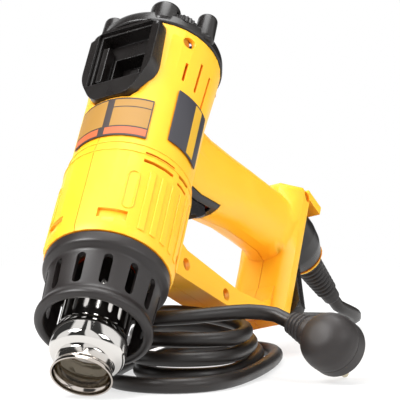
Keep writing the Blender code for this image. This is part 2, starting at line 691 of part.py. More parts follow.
def frame_block(name, grow, low, high, frame):
    """The frame's outline with chamfered front corners, as a block between two heights."""
    half = FRAME_WIDTH / 2 + grow
    corner = FRAME_CORNER
    rear = FRAME_REAR_X - 3 * grow
    front = FRAME_FRONT_X + grow
    left = [(front, half - 12), (front - 4, half - 8.5), (front - 12, half - 3),
            (front - corner, half), (rear + 1, half), (rear, half - 1)]
    outline = left + [(x, -y) for x, y in reversed(left)]
    return prism(name, "black", outline, low, high, frame, "Z")


def tray_block(name, clearance, top, frame):
    """The tray's outside: shallow behind, over the housing's screw boss, and deep ahead of that."""
    grow = TRAY_WALL + clearance
    half = TRAY_WIDTH / 2 + grow
    front = TRAY_FRONT_X + grow
    outline = ((TRAY_REAR_X - grow, TRAY_STEP_Z - grow), (TRAY_STEP_X - grow, TRAY_STEP_Z - grow),
               (TRAY_STEP_X - grow, TRAY_FLOOR_Z - grow), (front, TRAY_FLOOR_Z - grow), (front, top),
               (TRAY_REAR_X - grow, top))
    return prism(name, "black", outline, -half, half, frame)


def labels(frame):
    """Plain plates where the rating label and the side badges are."""
    seat = LABEL_R + GAP + 0.1
    sector("rating_label", "label", (78.0, 107.0), (seat, seat + 0.4), (-34, 44), frame, 10)
    for side, name in ((1, "left_badge"), (-1, "right_badge")):
        sector(name, "black", (62.0, 101.0), (seat + 0.2, seat + 0.8), (side * 64, side * 108), frame, 6)


def screws(frame):
    """The recessed screws that hold the two halves together."""
    for number, (x, z) in enumerate(SCREWS, 1):
        head = side_of_housing(x, z) - 5.0 + GAP
        tip = -min(side_of_housing(x, z) - 4.0, 12.0) + 0.5
        outline = ((tip, 0), (tip, SCREW_SHANK_R), (head, SCREW_SHANK_R), (head, SCREW_HEAD_R),
                   (head + 2.0, SCREW_HEAD_R), (head + 2.6, SCREW_HEAD_R - 1.0), (head + 2.6, 0))
        turned("shell_screw_" + str(number), "steel", outline, frame, 12, "Y", (x, 0, z))


def stand(frame):
    """The swing-out stand: a domed hub round the cord outlet and an arm under the base."""
    axis = empty("stand_axis", frame)
    axis.location = Vector((HUB_X, 0, 0)) * MM
    axis.rotation_euler = (0, 0, math.radians(ARM_ANGLE))
    top = BASE_Z - GAP
    profile = ((top, HUB_BORE_R), (top, HUB_R), (top - 12, HUB_R), (top - 22, HUB_R - 1.5),
               (top - HUB_LENGTH, HUB_R - 5), (top - HUB_LENGTH, HUB_BORE_R))
    hub = turned("stand", "black", profile, axis, 28, "Z")
    half = ARM_WIDTH / 2
    outline = [(HUB_BORE_R + 2, -half), (ARM_LENGTH - half, -half)]
    for i in range(1, 6):
        a = math.radians(-90 + 30 * i)
        outline.append((ARM_LENGTH - half + half * math.cos(a), half * math.sin(a)))
    outline += [(ARM_LENGTH - half, half), (HUB_BORE_R + 2, half)]
    add(hub, prism("stand_arm", "black", outline, top - ARM_THICKNESS, top - 0.6, axis, "Z"))


def relief(frame):
    """The ribbed rubber sleeve that protects the lead where it leaves the base."""
    end = BASE_Z - GAP - HUB_LENGTH
    collar_end = end - GAP - 2.6
    root_r = RELIEF_R + 0.6
    turned("stand_collar", "yellow", ((end - GAP, root_r + GAP), (end - GAP, HUB_R - 4.4),
                                      (collar_end, HUB_R - 6.4), (collar_end, root_r + GAP)), frame, 28, "Z",
           (HUB_X, 0, 0))
    flange_z = BASE_Z + WALL
    profile = [(flange_z + 3.2, 0), (flange_z + 3.2, root_r + 1.5), (flange_z + GAP, root_r + 1.5),
               (flange_z + GAP, root_r), (collar_end - 1, root_r)]
    pitch = (RELIEF_LENGTH - 9) / RIBS
    for i in range(RIBS):
        z = collar_end - 1 - i * pitch
        outer = RELIEF_R - 2.6 * i / RIBS
        profile += [(z - 0.7 * pitch, outer + 0.4), (z - pitch, outer - 1.1)]
    tip = collar_end - RELIEF_LENGTH
    profile += [(tip, CORD_D / 2 + 1.0), (tip, 0)]
    turned("strain_relief", "rubber", profile, frame, 16, "Z", (HUB_X, 0, 0))
    clamp_low = BASE_Z + WALL + GAP
    block("cord_clamp", "black", (HUB_X + 18, -13, clamp_low), (HUB_X + 27, 13, clamp_low + 4.5), frame)
    return (HUB_X, 0, tip)


def smooth_route(points, step):
    """Points about a step apart along a smooth curve, with a straight length at each end."""
    chain = [Vector(p) for p in points]
    fine = []
    for k in range(1, len(chain) - 2):
        a, b, c, d = chain[k - 1:k + 3]
        for i in range(20):
            t = i / 20
            fine.append(0.5 * (2 * b + (c - a) * t + (2 * a - 5 * b + 4 * c - d) * t ** 2
                               + (3 * b - a - 3 * c + d) * t ** 3))
    fine.append(chain[-2])
    total = sum((q - p).length for p, q in zip(fine, fine[1:]))
    count = max(2, round(total / step))
    spaced = [fine[0]]
    walked, target = 0.0, total / count
    for p, q in zip(fine, fine[1:]):
        length = (q - p).length
        while walked + length >= target - 1e-6 and len(spaced) < count:
            spaced.append(p.lerp(q, (target - walked) / length))
            target += total / count
        walked += length
    return [chain[0]] + spaced + chain[-2:]


def tube(name, route, parent, resolution):
    """A round cord along a chain of points."""
    data = bpy.data.curves.new(name, "CURVE")
    data.dimensions = "3D"
    data.bevel_depth = CORD_D / 2 * MM
    data.bevel_resolution = resolution
    data.use_fill_caps = True
    spline = data.splines.new("POLY")
    spline.points.add(len(route) - 1)
    for point, place_at in zip(spline.points, route):
        point.co = (*(Vector(place_at) * MM), 1)
    made = bpy.data.objects.new(name, data)
    bpy.context.collection.objects.link(made)
    made.data.materials.append(material("rubber"))
    made.parent = parent
    return made


# The coil's reach to each side, one value a turn, in the floor's frame before centring
COIL_NEAR_X = (146.0, 104.0, 110.0, 101.0)
COIL_FAR_X = (-37.0, -14.0, 14.0, 40.0)
COIL_RIGHT_Y = (72.5, 63.0, 64.0, 65.0)
COIL_LEFT_Y = (-7.0, 3.5, 0.0, 2.0, 4.0)
CLIMBS = (1.4, 2.4, 3.4)      # turns at which the cord starts to climb a layer
CLIMB_TURNS = 0.5
FLOOR_CLEARANCE = 0.1


def eased(value):
    value = min(1.0, max(0.0, value))
    return value * value * (3 - 2 * value)


def spread(values, at):
    """A value read smoothly from a list that has one for each turn."""
    low = max(0, min(math.floor(at), len(values) - 2))
    return values[low] + (values[low + 1] - values[low]) * eased(at - low)


def coil_point(turn):
    """Centre of the cord after some turns: the first lies outermost, the next inside it, and the
    rest are piled on that one."""
    angle = 2 * math.pi * turn - math.pi / 2
    near, far = spread(COIL_NEAR_X, turn - 0.25), spread(COIL_FAR_X, turn - 0.75)
    right, left = spread(COIL_RIGHT_Y, turn - 0.5), spread(COIL_LEFT_Y, turn)
    half_width = (right - left) / 2
    half_length = (near - far) / 2
    straight = max(0.0, half_length - half_width)
    x = (near + far) / 2 + (half_length - straight) * math.cos(angle)
    x += straight * math.tanh(2 * math.cos(angle)) / math.tanh(2)
    y = (left + right) / 2 + half_width * math.sin(angle)
    level = sum(eased((turn - start) / CLIMB_TURNS) for start in CLIMBS)
    return Vector((x, y, CORD_D / 2 + FLOOR_CLEARANCE + LAYER * level))


def least_self_gap(route):
    """Least clear distance between stretches of the cord that aren't neighbours along it."""
    least = 1e9
    apart = COIL_SIDES_TURN // 3
    for i, p in enumerate(route):
        for j in range(i + apart, len(route) - 1):
            a, b = route[j], route[j + 1]
            t = max(0.0, min(1.0, (p - a).dot(b - a) / (b - a).length_squared))
            least = min(least, (p - a.lerp(b, t)).length)
    return least - CORD_D


def lead_and_coil(ground, relief_end, relief_way):
    """The lead from the strain relief, its coil, and the free end up to the plug."""
    coil = [coil_point(i / COIL_SIDES_TURN) for i in range(COIL_TURNS * COIL_SIDES_TURN + 1)]
    print("least gap of the coil to itself, mm:", round(least_self_gap(coil), 2))
    tube("cord_coil", coil, ground, 1)
    start = relief_end + relief_way * GAP
    joint_in = coil[0] - (coil[1] - coil[0]).normalized() * GAP
    way_in = (coil[1] - coil[0]).normalized()
    floor = CORD_D / 2 + FLOOR_CLEARANCE
    lead = [start, start + relief_way * 8.0, (-184.0, 86.5, 10.5), (-202.0, 79.0, 5.2), (-211.0, 60.0, floor),
            (-207.0, 38.0, floor), (-192.0, 15.0, floor), (-168.0, -5.0, floor), (-138.0, -19.0, floor),
            (-100.0, -29.0, floor), (-55.0, -33.0, floor), (-12.0, -28.0, floor), (20.0, -16.0, floor),
            joint_in - way_in * 10.0, joint_in]
    tube("cord_lead", smooth_route(lead, 2.2 * CORD_D), ground, 2)
    out = (coil[-1] - coil[-2]).normalized()
    leave = coil[-1] + out * GAP
    neck_end = Vector(PLUG_CENTRE) + NECK_WAY * NECK_REACH
    tail = [leave, leave + out * 5.0, (85.0, 6.5, 34.2), (91.5, 14.5, 34.6), (92.0, 27.0, 35.2),
            (85.5, 41.0, 36.0), (75.5, 54.0, 36.8), (67.8, 67.5, 37.4), neck_end + NECK_WAY * 12.0,
            neck_end + NECK_WAY * GAP]
    tube("cord_tail", smooth_route(tail, 1.6 * CORD_D), ground, 2)


PLUG_CENTRE = (84.0, 116.5, 23.3)
PIN_WAY = Vector((-0.86, 0.29, -0.40)).normalized()
NECK_ROUGH = Vector((-0.40, -0.80, 0.30))
NECK_WAY = (NECK_ROUGH - PIN_WAY * NECK_ROUGH.dot(PIN_WAY)).normalized()
NECK_REACH = 28.0


def plug(ground):
    """The round moulded plug with its ribbed neck at the side and two round pins."""
    seat = empty("plug_seat", ground)
    across = NECK_WAY
    turn = Matrix((PIN_WAY, across, PIN_WAY.cross(across))).transposed().to_4x4()
    seat.matrix_local = Matrix.Translation(Vector(PLUG_CENTRE) * MM) @ turn
    back = -PLUG_DEPTH * 0.5
    profile = ((back, 0), (back + 0.6, PLUG_R * 0.45), (back + 3.5, PLUG_R * 0.76), (back + 8.5, PLUG_R * 0.95),
               (back + 14, PLUG_R), (back + PLUG_DEPTH - 1.5, PLUG_R), (back + PLUG_DEPTH, PLUG_R - 1.5),
               (back + PLUG_DEPTH, 0))
    body = turned("plug_body", "rubber", profile, seat, 26, "X")
    neck = [(0, 0), (0, 9.5), (PLUG_R, 8.6)]
    ribs = 4
    for i in range(ribs):
        y = PLUG_R + 1.5 + i * 2.8
        radius = 8.2 - 0.6 * i
        neck += [(y, radius), (y + 1.6, radius - 0.2), (y + 1.9, radius - 1.3)]
    neck += [(NECK_REACH, CORD_D / 2 + 0.8), (NECK_REACH, 0)]
    add(body, turned("plug_neck", "rubber", neck, seat, 14, "Y"))
    face = back + PLUG_DEPTH
    for name, side in (("plug_pin_a", -1), ("plug_pin_b", 1)):
        centre = (0, 0, side * PIN_SPACING / 2)
        outline = ((face + GAP, 0), (face + GAP, PIN_R), (face + PIN_LENGTH - 1.2, PIN_R),
                   (face + PIN_LENGTH, PIN_R - 1.0), (face + PIN_LENGTH, 0))
        turned(name, "brass", outline, seat, 12, "X", centre)


CORD_PIECES = ("cord_lead", "cord_coil", "cord_tail", "plug_body", "plug_pin_a", "plug_pin_b")


def centre_on_floor(ground):
    """Slide everything so that the tool's own box, without the lead, is centred on the origin."""
    bpy.context.view_layer.update()
    graph = bpy.context.evaluated_depsgraph_get()
    low = Vector((1e9, 1e9, 1e9))
    high = -low
    for piece in bpy.data.objects:
        if piece.type != "MESH" or piece.hide_render or piece.name in CORD_PIECES:
            continue
        shown = piece.evaluated_get(graph)
        for corner in shown.data.vertices:
            at = shown.matrix_world @ corner.co
            low = Vector(map(min, low, at))
            high = Vector(map(max, high, at))
    ground.location -= Vector(((low.x + high.x) / 2, (low.y + high.y) / 2, low.z))


def main():
    for old in list(bpy.data.objects):
        bpy.data.objects.remove(old)
    ground = empty("ground")
    frame = empty("tool_frame", ground)
    tilt = Matrix.Rotation(math.radians(PITCH), 4, "Y") @ Matrix.Rotation(math.radians(ROLL), 4, "X")
    drop = NOZZLE_TIP_X * math.sin(math.radians(PITCH)) + NOZZLE_RIM_R * math.cos(math.radians(PITCH))
    frame.matrix_local = Matrix.Translation((0, 0, drop * MM)) @ tilt
    housing_half("left_shell", 1, frame)
    housing_half("right_shell", -1, frame)
    trigger_pieces(frame)
    guard(frame)
    heater(frame)
    motor(frame)
    rear_cap(frame)
    top_frame(frame)
    labels(frame)
    screws(frame)
    stand(frame)
    tip = relief(frame)
    relief_end = tilt @ Vector(tip) + Vector((0, 0, drop))
    lead_and_coil(ground, relief_end, tilt @ Vector((0, 0, -1)))
    plug(ground)
    centre_on_floor(ground)


main()
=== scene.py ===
"""Looks of a corded hot air tool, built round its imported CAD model."""
import math

import bmesh
import bpy
from mathutils import Matrix, Vector


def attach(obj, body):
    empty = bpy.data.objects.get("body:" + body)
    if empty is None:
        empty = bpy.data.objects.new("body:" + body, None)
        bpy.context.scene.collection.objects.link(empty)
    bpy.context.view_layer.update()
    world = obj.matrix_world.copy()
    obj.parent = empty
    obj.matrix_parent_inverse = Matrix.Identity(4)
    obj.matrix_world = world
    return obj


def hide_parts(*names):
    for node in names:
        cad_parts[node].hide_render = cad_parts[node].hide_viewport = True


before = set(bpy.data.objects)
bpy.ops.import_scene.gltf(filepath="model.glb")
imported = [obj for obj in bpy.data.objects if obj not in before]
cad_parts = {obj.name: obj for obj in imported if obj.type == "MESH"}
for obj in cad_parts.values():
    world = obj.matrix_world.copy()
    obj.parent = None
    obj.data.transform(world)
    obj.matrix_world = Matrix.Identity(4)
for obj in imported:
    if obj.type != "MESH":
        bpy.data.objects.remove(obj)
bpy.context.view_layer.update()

# The view
# A long lens looks almost level at the nozzle end, from the tool's front left.
MM = 0.001
SLIDE = Vector((-17.52, -21.09, -0.05))
LOOK = Vector((-0.97125, -0.23224, -0.05234))
RIGHT = Vector((-0.2326, 0.9726, 0.0))
UP = Vector((-0.0509, -0.0122, 0.9986))
CAMERA_AT = Vector((1285.3, 329.9, 166.2))
LENS = 198
camera_data = bpy.data.cameras.new("photo_camera")
camera_data.lens = LENS
camera_data.sensor_width = 36
camera_data.clip_end = 100
camera = bpy.data.objects.new("photo_camera", camera_data)
bpy.context.collection.objects.link(camera)
turn = Matrix((RIGHT, UP, -LOOK)).transposed().to_4x4()
camera.matrix_world = Matrix.Translation((CAMERA_AT + SLIDE) * MM) @ turn
bpy.context.scene.camera = camera
bpy.context.scene.view_settings.view_transform = "Standard"


# Floor, backdrop and lights
# A white sweep under a large soft lamp, with weaker lamps to the right and above. The surround is white, and
# what shines sees it as bright panels with dark gaps between them, as in a studio.
def linear(colour):
    """The linear RGBA of an sRGB hex value."""
    channels = [int(colour[i:i + 2], 16) / 255 for i in (1, 3, 5)]
    return (*[c / 12.92 if c <= 0.04045 else ((c + 0.055) / 1.055) ** 2.4 for c in channels], 1.0)


def node(tree, kind, settings=(), **links):
    """Adds a node, sets its properties, and fills its inputs with values or other nodes' outputs."""
    made = tree.nodes.new(kind)
    for name, value in settings:
        setattr(made, name, value)
    for name, value in links.items():
        key = int(name[1:]) if name[0] == "i" and name[1:].isdigit() else name.replace("_", " ")
        if hasattr(value, "is_output"):
            tree.links.new(value, made.inputs[key])
        else:
            made.inputs[key].default_value = value
    return made


def blank(name):
    made = bpy.data.materials.new(name)
    made.use_nodes = True
    made.node_tree.nodes.clear()
    return made, made.node_tree


NEAR_GLOW = 0.66
BOUNCED_GLOW = 0.45
SURROUND_PANELS = 4.0
sweep_white, tree = blank("white paper sweep")
rays = node(tree, "ShaderNodeLightPath")
seen = node(tree, "ShaderNodeMath", [("operation", "MAXIMUM")], i0=rays.outputs["Is Camera Ray"],
            i1=rays.outputs["Is Glossy Ray"])
place = node(tree, "ShaderNodeTexCoord")
away = node(tree, "ShaderNodeVectorMath", [("operation", "LENGTH")], i0=place.outputs["Object"])
fade = node(tree, "ShaderNodeMapRange", [("interpolation_type", "SMOOTHSTEP")], Value=away.outputs["Value"],
            From_Min=0.2, From_Max=0.75, To_Min=NEAR_GLOW, To_Max=1.0)
least = node(tree, "ShaderNodeMath", [("operation", "MAXIMUM")], i0=seen.outputs[0], i1=BOUNCED_GLOW)
share = node(tree, "ShaderNodeMath", [("operation", "MULTIPLY")], i0=least.outputs[0], i1=fade.outputs[0])
paper = node(tree, "ShaderNodeBsdfDiffuse", Color=linear("#F4F4F4"))
glow = node(tree, "ShaderNodeEmission", Color=linear("#FFFFFF"), Strength=1.0)
mixed = node(tree, "ShaderNodeMixShader", i0=share.outputs[0], i1=paper.outputs[0], i2=glow.outputs[0])
node(tree, "ShaderNodeOutputMaterial", Surface=mixed.outputs[0])

sweep = bmesh.new()
bmesh.ops.create_grid(sweep, x_segments=1, y_segments=1, size=6.0)
floor_mesh = bpy.data.meshes.new("floor")
sweep.to_mesh(floor_mesh)
sweep.free()
floor_mesh.materials.append(sweep_white)
floor = bpy.data.objects.new("floor", floor_mesh)
bpy.context.collection.objects.link(floor)

world = bpy.data.worlds.new("white surround")
bpy.context.scene.world = world
world.use_nodes = True
tree = world.node_tree
tree.nodes.clear()
rays = node(tree, "ShaderNodeLightPath")
seen = node(tree, "ShaderNodeMath", [("operation", "MAXIMUM")], i0=rays.outputs["Is Camera Ray"],
            i1=rays.outputs["Is Transmission Ray"])
dim = node(tree, "ShaderNodeBackground", Color=linear("#F7F6F4"), Strength=0.70)
bright = node(tree, "ShaderNodeBackground", Color=linear("#FFFFFF"), Strength=1.0)
way = node(tree, "ShaderNodeTexCoord")
parts = node(tree, "ShaderNodeSeparateXYZ", Vector=way.outputs["Generated"])
bearing = node(tree, "ShaderNodeMath", [("operation", "ARCTAN2")], i0=parts.outputs["Y"],
               i1=parts.outputs["X"])
turns = node(tree, "ShaderNodeMath", [("operation", "MULTIPLY")], i0=bearing.outputs[0], i1=SURROUND_PANELS)
screens = node(tree, "ShaderNodeMath", [("operation", "SINE")], i0=turns.outputs[0])
panels = node(tree, "ShaderNodeMapRange", [("interpolation_type", "SMOOTHSTEP")], Value=screens.outputs[0],
              From_Min=-0.15, From_Max=0.25, To_Min=0.05, To_Max=1.1)
studio = node(tree, "ShaderNodeBackground", Color=linear("#FFFFFF"), Strength=panels.outputs[0])
lit = node(tree, "ShaderNodeMixShader", i0=rays.outputs["Is Glossy Ray"], i1=dim.outputs[0],
           i2=studio.outputs[0])
mixed = node(tree, "ShaderNodeMixShader", i0=seen.outputs[0], i1=lit.outputs[0], i2=bright.outputs[0])
node(tree, "ShaderNodeOutputWorld", Surface=mixed.outputs[0])

for name, place_at, aim, size, power in (
        ("key lamp", (1.0, -0.9, 1.5), (0, 0, 0.1), 0.9, 42.0),
        ("right lamp", (0.7, 1.4, 0.9), (0, 0, 0.1), 0.8, 11.0),
        ("top lamp", (-0.3, 0.1, 1.7), (0, 0, 0.1), 1.0, 17.0)):
    lamp_data = bpy.data.lights.new(name, "AREA")
    lamp_data.size = size
    lamp_data.energy = power
    lamp = bpy.data.objects.new(name, lamp_data)
    bpy.context.collection.objects.link(lamp)
    lamp.location = place_at
    lamp.rotation_euler = (Vector(aim) - Vector(place_at)).to_track_quat("-Z", "Y").to_euler()

# The tool's own frame
# The tool leans nose down and rolled to its right. X runs along the barrel, Y to its left, Z to its top.
TOOL = (Matrix.Translation((Vector((0, 0, 189.1)) + SLIDE) * MM)
        @ Matrix.Rotation(math.radians(45.26), 4, "Y") @ Matrix.Rotation(math.radians(19.25), 4, "X"))
BODY = "housing"


# Mains lead
# Black PVC sheathed flex, 8.6 mm thick, round and slightly shiny. It leaves the strain relief, drops to the
# floor, runs behind the tool, lies in a coil of four turns under the handle and ends in the plug.
CORD_D = 8.6
LAYER = 9.8
COIL_NEAR_X = (146.0, 104.0, 110.0, 101.0)
COIL_FAR_X = (-37.0, -14.0, 14.0, 40.0)
COIL_RIGHT_Y = (72.5, 63.0, 64.0, 65.0)
COIL_LEFT_Y = (-7.0, 3.5, 0.0, 2.0, 4.0)
CLIMBS = (1.4, 2.4, 3.4)
COIL_TURNS = 4
HUB_X = 12.0
RELIEF_TIP = Vector((HUB_X, 0.0, -234.2))
DOWN_THE_GRIP = Vector((0, 0, -1))
PLUG_CENTRE = Vector((84.0, 116.5, 23.3))
PIN_WAY = Vector((-0.86, 0.29, -0.40)).normalized()
NECK_ROUGH = Vector((-0.40, -0.80, 0.30))
NECK_WAY = (NECK_ROUGH - PIN_WAY * NECK_ROUGH.dot(PIN_WAY)).normalized()
NECK_REACH = 28.0


def textured(name, colour, roughness, grain_mm, bump, variation=0.08, metallic=0.0, edge_mm=0.0, painted_recess_shade=None,
             **sockets):
    """A moulded or metal finish: cloudy colour, fine grain and slightly uneven gloss, in object space.
    A painted recess shade, when given, is the colour that hollows are painted towards: painted shade."""
    made, tree = blank(name)
    place = node(tree, "ShaderNodeTexCoord")
    at = place.outputs["Object"]
    cloud = node(tree, "ShaderNodeTexNoise", Vector=at, Scale=1 / (22 * MM), Detail=3.0, Roughness=0.55)
    grain = node(tree, "ShaderNodeTexNoise", Vector=at, Scale=1 / (grain_mm * MM), Detail=2.0, Roughness=0.6)
    base = linear(colour)
    darker = tuple(c * (1 - variation) for c in base[:3]) + (1.0,)
    lighter = tuple(min(1.0, c * (1 + variation * 0.7)) for c in base[:3]) + (1.0,)
    tone = node(tree, "ShaderNodeMix", [("data_type", "RGBA")], Factor=cloud.outputs["Fac"])
    tone.inputs[6].default_value = darker
    tone.inputs[7].default_value = lighter
    base_colour = tone.outputs[2]
    # Painted shade: where ambient occlusion finds the surface closed in, the base colour is mixed towards the
    # painted recess shade.
    if painted_recess_shade:
        open_sky = node(tree, "ShaderNodeAmbientOcclusion", [("samples", 8)], Distance=45 * MM)
        openness = node(tree, "ShaderNodeMapRange", Value=open_sky.outputs["AO"], From_Min=0.15,
                        From_Max=0.85, To_Min=0.0, To_Max=1.0)
        deep = node(tree, "ShaderNodeMix", [("data_type", "RGBA")], Factor=openness.outputs[0])
        deep.inputs[6].default_value = linear(painted_recess_shade)
        tree.links.new(base_colour, deep.inputs[7])
        base_colour = deep.outputs[2]
    gloss = node(tree, "ShaderNodeMapRange", Value=cloud.outputs["Fac"], From_Min=0.3, From_Max=0.7,
                 To_Min=max(0.02, roughness - 0.05), To_Max=roughness + 0.06)
    relief = node(tree, "ShaderNodeBump", Height=grain.outputs["Fac"], Strength=bump,
                  Distance=grain_mm * MM * 0.3)
    if edge_mm:
        soft = node(tree, "ShaderNodeBevel", [("samples", 4)], Radius=edge_mm * MM)
        tree.links.new(soft.outputs[0], relief.inputs["Normal"])
    shader = node(tree, "ShaderNodeBsdfPrincipled", Base_Color=base_colour, Roughness=gloss.outputs[0],
                  Metallic=metallic, Normal=relief.outputs[0])
    for socket, value in sockets.items():
        shader.inputs[socket.replace("_", " ")].default_value = value
    node(tree, "ShaderNodeOutputMaterial", Surface=shader.outputs[0])
    return made


def smooth_route(points, step):
    """Points about a step apart along a smooth curve, with a straight length at each end."""
    chain = [Vector(p) for p in points]
    fine = []
    for k in range(1, len(chain) - 2):
        a, b, c, d = chain[k - 1:k + 3]
        for i in range(20):
            t = i / 20
            fine.append(0.5 * (2 * b + (c - a) * t + (2 * a - 5 * b + 4 * c - d) * t ** 2
                               + (3 * b - a - 3 * c + d) * t ** 3))
    fine.append(chain[-2])
    total = sum((q - p).length for p, q in zip(fine, fine[1:]))
    count = max(2, round(total / step))
    spaced = [fine[0]]
    walked, target = 0.0, total / count
    for p, q in zip(fine, fine[1:]):
        length = (q - p).length
        while walked + length >= target - 1e-6 and len(spaced) < count:
            spaced.append(p.lerp(q, (target - walked) / length))
            target += total / count
        walked += length
    return [chain[0]] + spaced + chain[-2:]


def eased(value):
    value = min(1.0, max(0.0, value))
    return value * value * (3 - 2 * value)


def spread(values, at):
    """A value read smoothly from a list that has one for each turn."""
    low = max(0, min(math.floor(at), len(values) - 2))
    return values[low] + (values[low + 1] - values[low]) * eased(at - low)


def coil_point(turns):
    """Centre of the lead after some turns of its coil."""
    angle = 2 * math.pi * turns - math.pi / 2
    near, far = spread(COIL_NEAR_X, turns - 0.25), spread(COIL_FAR_X, turns - 0.75)
    right, left = spread(COIL_RIGHT_Y, turns - 0.5), spread(COIL_LEFT_Y, turns)
    half_width = (right - left) / 2
    half_length = (near - far) / 2
    straight = max(0.0, half_length - half_width)
    x = (near + far) / 2 + (half_length - straight) * math.cos(angle)
    x += straight * math.tanh(2 * math.cos(angle)) / math.tanh(2)
    y = (left + right) / 2 + half_width * math.sin(angle)
    level = sum(eased((turns - start) / 0.5) for start in CLIMBS)
    return Vector((x, y, CORD_D / 2 + 0.1 + LAYER * level))


def to_world(p):
    """A point of the tool's frame in the room, both in millimetres, before the slide."""
    return TOOL @ (p * MM) / MM - SLIDE


COIL_STEPS = 48
coil = [coil_point(i / COIL_STEPS) for i in range(COIL_TURNS * COIL_STEPS + 1)]
floor_z = CORD_D / 2 + 0.1
relief_way = (TOOL.to_3x3() @ DOWN_THE_GRIP).normalized()
start = to_world(RELIEF_TIP) + relief_way * 0.3
way_in = (coil[1] - coil[0]).normalized()
lead = [start, start + relief_way * 8.0, (-184.0, 86.5, 10.5), (-202.0, 79.0, 5.2), (-211.0, 60.0, floor_z),
        (-207.0, 38.0, floor_z), (-192.0, 15.0, floor_z), (-168.0, -5.0, floor_z), (-138.0, -19.0, floor_z),
        (-100.0, -29.0, floor_z), (-55.0, -33.0, floor_z), (-12.0, -28.0, floor_z), (20.0, -16.0, floor_z),
        coil[0] - way_in * 10.0, coil[0]]
way_out = (coil[-1] - coil[-2]).normalized()
tail = [coil[-1], coil[-1] + way_out * 5.0, (85.0, 6.5, 34.2), (91.5, 14.5, 34.6), (92.0, 27.0, 35.2),
        (85.5, 41.0, 36.0), (75.5, 54.0, 36.8), (67.8, 67.5, 37.4),
        PLUG_CENTRE + NECK_WAY * (NECK_REACH + 12.0), PLUG_CENTRE + NECK_WAY * (NECK_REACH + 0.3)]
route = smooth_route(lead, 8.0)[:-1] + coil + smooth_route(tail, 8.0)[1:]
route = [p + SLIDE for p in route]

pvc_sheath = textured("black PVC cord sheath", "#18120F", 0.42, 0.35, 0.25, 0.12)
lead_curve = bpy.data.curves.new("mains_lead", "CURVE")
lead_curve.dimensions = "3D"
lead_curve.bevel_depth = CORD_D / 2 * MM
lead_curve.bevel_resolution = 4
lead_curve.use_fill_caps = True
spline = lead_curve.splines.new("POLY")
spline.points.add(len(route) - 1)
for point, centre in zip(spline.points, route):
    point.co = (*(centre * MM), 1)
spline.use_smooth = True
lead_curve.materials.append(pvc_sheath)
mains_lead = bpy.data.objects.new("mains_lead", lead_curve)
bpy.context.collection.objects.link(mains_lead)
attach(mains_lead, BODY)
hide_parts("cord_lead", "cord_coil", "cord_tail")


# Plug
# A moulded round plug of black PVC with two round pins of nickel plated brass, 19 mm apart. Its neck leaves
# the rim at the side and is ribbed so that it bends gently.
PLUG_R = 16.8
PLUG_DEPTH = 27.0
PIN_R = 2.4
PIN_LENGTH = 19.0
PIN_SPACING = 19.0


def fillet(outline, radius, steps=4):
    """Rounds each inner corner of an open outline, as far as its two sides allow."""
    rounded = [Vector(outline[0])]
    for before, corner, after in zip(outline, outline[1:], outline[2:]):
        before, corner, after = Vector(before), Vector(corner), Vector(after)
        one, two = before - corner, after - corner
        if one.length < 1e-6 or two.length < 1e-6 or one.angle(two) > math.radians(172):
            rounded.append(corner)
            continue
        reach = min(radius, one.length * 0.45, two.length * 0.45)
        first, last = corner + one.normalized() * reach, corner + two.normalized() * reach
        for i in range(steps + 1):
            t = i / steps
            rounded.append(first * (1 - t) ** 2 + corner * 2 * t * (1 - t) + last * t ** 2)
    rounded.append(Vector(outline[-1]))
    return [tuple(p) for p in rounded]


def finished(name, shape, material, body, matrix=TOOL, angle=40.0, replaced=()):
    """Turns a bmesh in millimetres into a placed piece that rides on a body."""
    bmesh.ops.remove_doubles(shape, verts=shape.verts, dist=0.0005)
    bmesh.ops.recalc_face_normals(shape, faces=shape.faces)
    mesh = bpy.data.meshes.new(name)
    shape.to_mesh(mesh)
    shape.free()
    mesh.transform(matrix @ Matrix.Scale(MM, 4))
    mesh.shade_smooth()
    mesh.set_sharp_from_angle(angle=math.radians(angle))
    mesh.materials.append(material)
    made = bpy.data.objects.new(name, mesh)
    bpy.context.collection.objects.link(made)
    if body:
        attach(made, body)
        if replaced:
            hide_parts(*replaced)
    return made


def revolve(outline, sides, axis="X", centre=(0, 0, 0), closed=False):
    """A turned shape from (distance along the axis, radius) points."""
    shape = bmesh.new()
    rings = []
    for along, radius in outline:
        ring = []
        for i in range(sides if radius > 1e-6 else 1):
            a = 2 * math.pi * i / sides
            u, v = radius * math.sin(a), radius * math.cos(a)
            at = {"X": (along, u, v), "Y": (v, along, u), "Z": (u, v, along)}[axis]
            ring.append(shape.verts.new(Vector(at) + Vector(centre)))
        rings.append(ring)
    pairs = list(zip(rings, rings[1:]))
    if closed:
        pairs.append((rings[-1], rings[0]))
    for one, two in pairs:
        for i in range(sides):
            j = (i + 1) % sides
            corners = []
            for vertex in (one[i % len(one)], one[j % len(one)], two[j % len(two)], two[i % len(two)]):
                if vertex not in corners:
                    corners.append(vertex)
            if len(corners) > 2:
                shape.faces.new(corners)
    return shape


def merged(*shapes):
    """Several bmeshes in one."""
    whole = shapes[0]
    for other in shapes[1:]:
        mesh = bpy.data.meshes.new("part")
        other.to_mesh(mesh)
        other.free()
        whole.from_mesh(mesh)
        bpy.data.meshes.remove(mesh)
    return whole


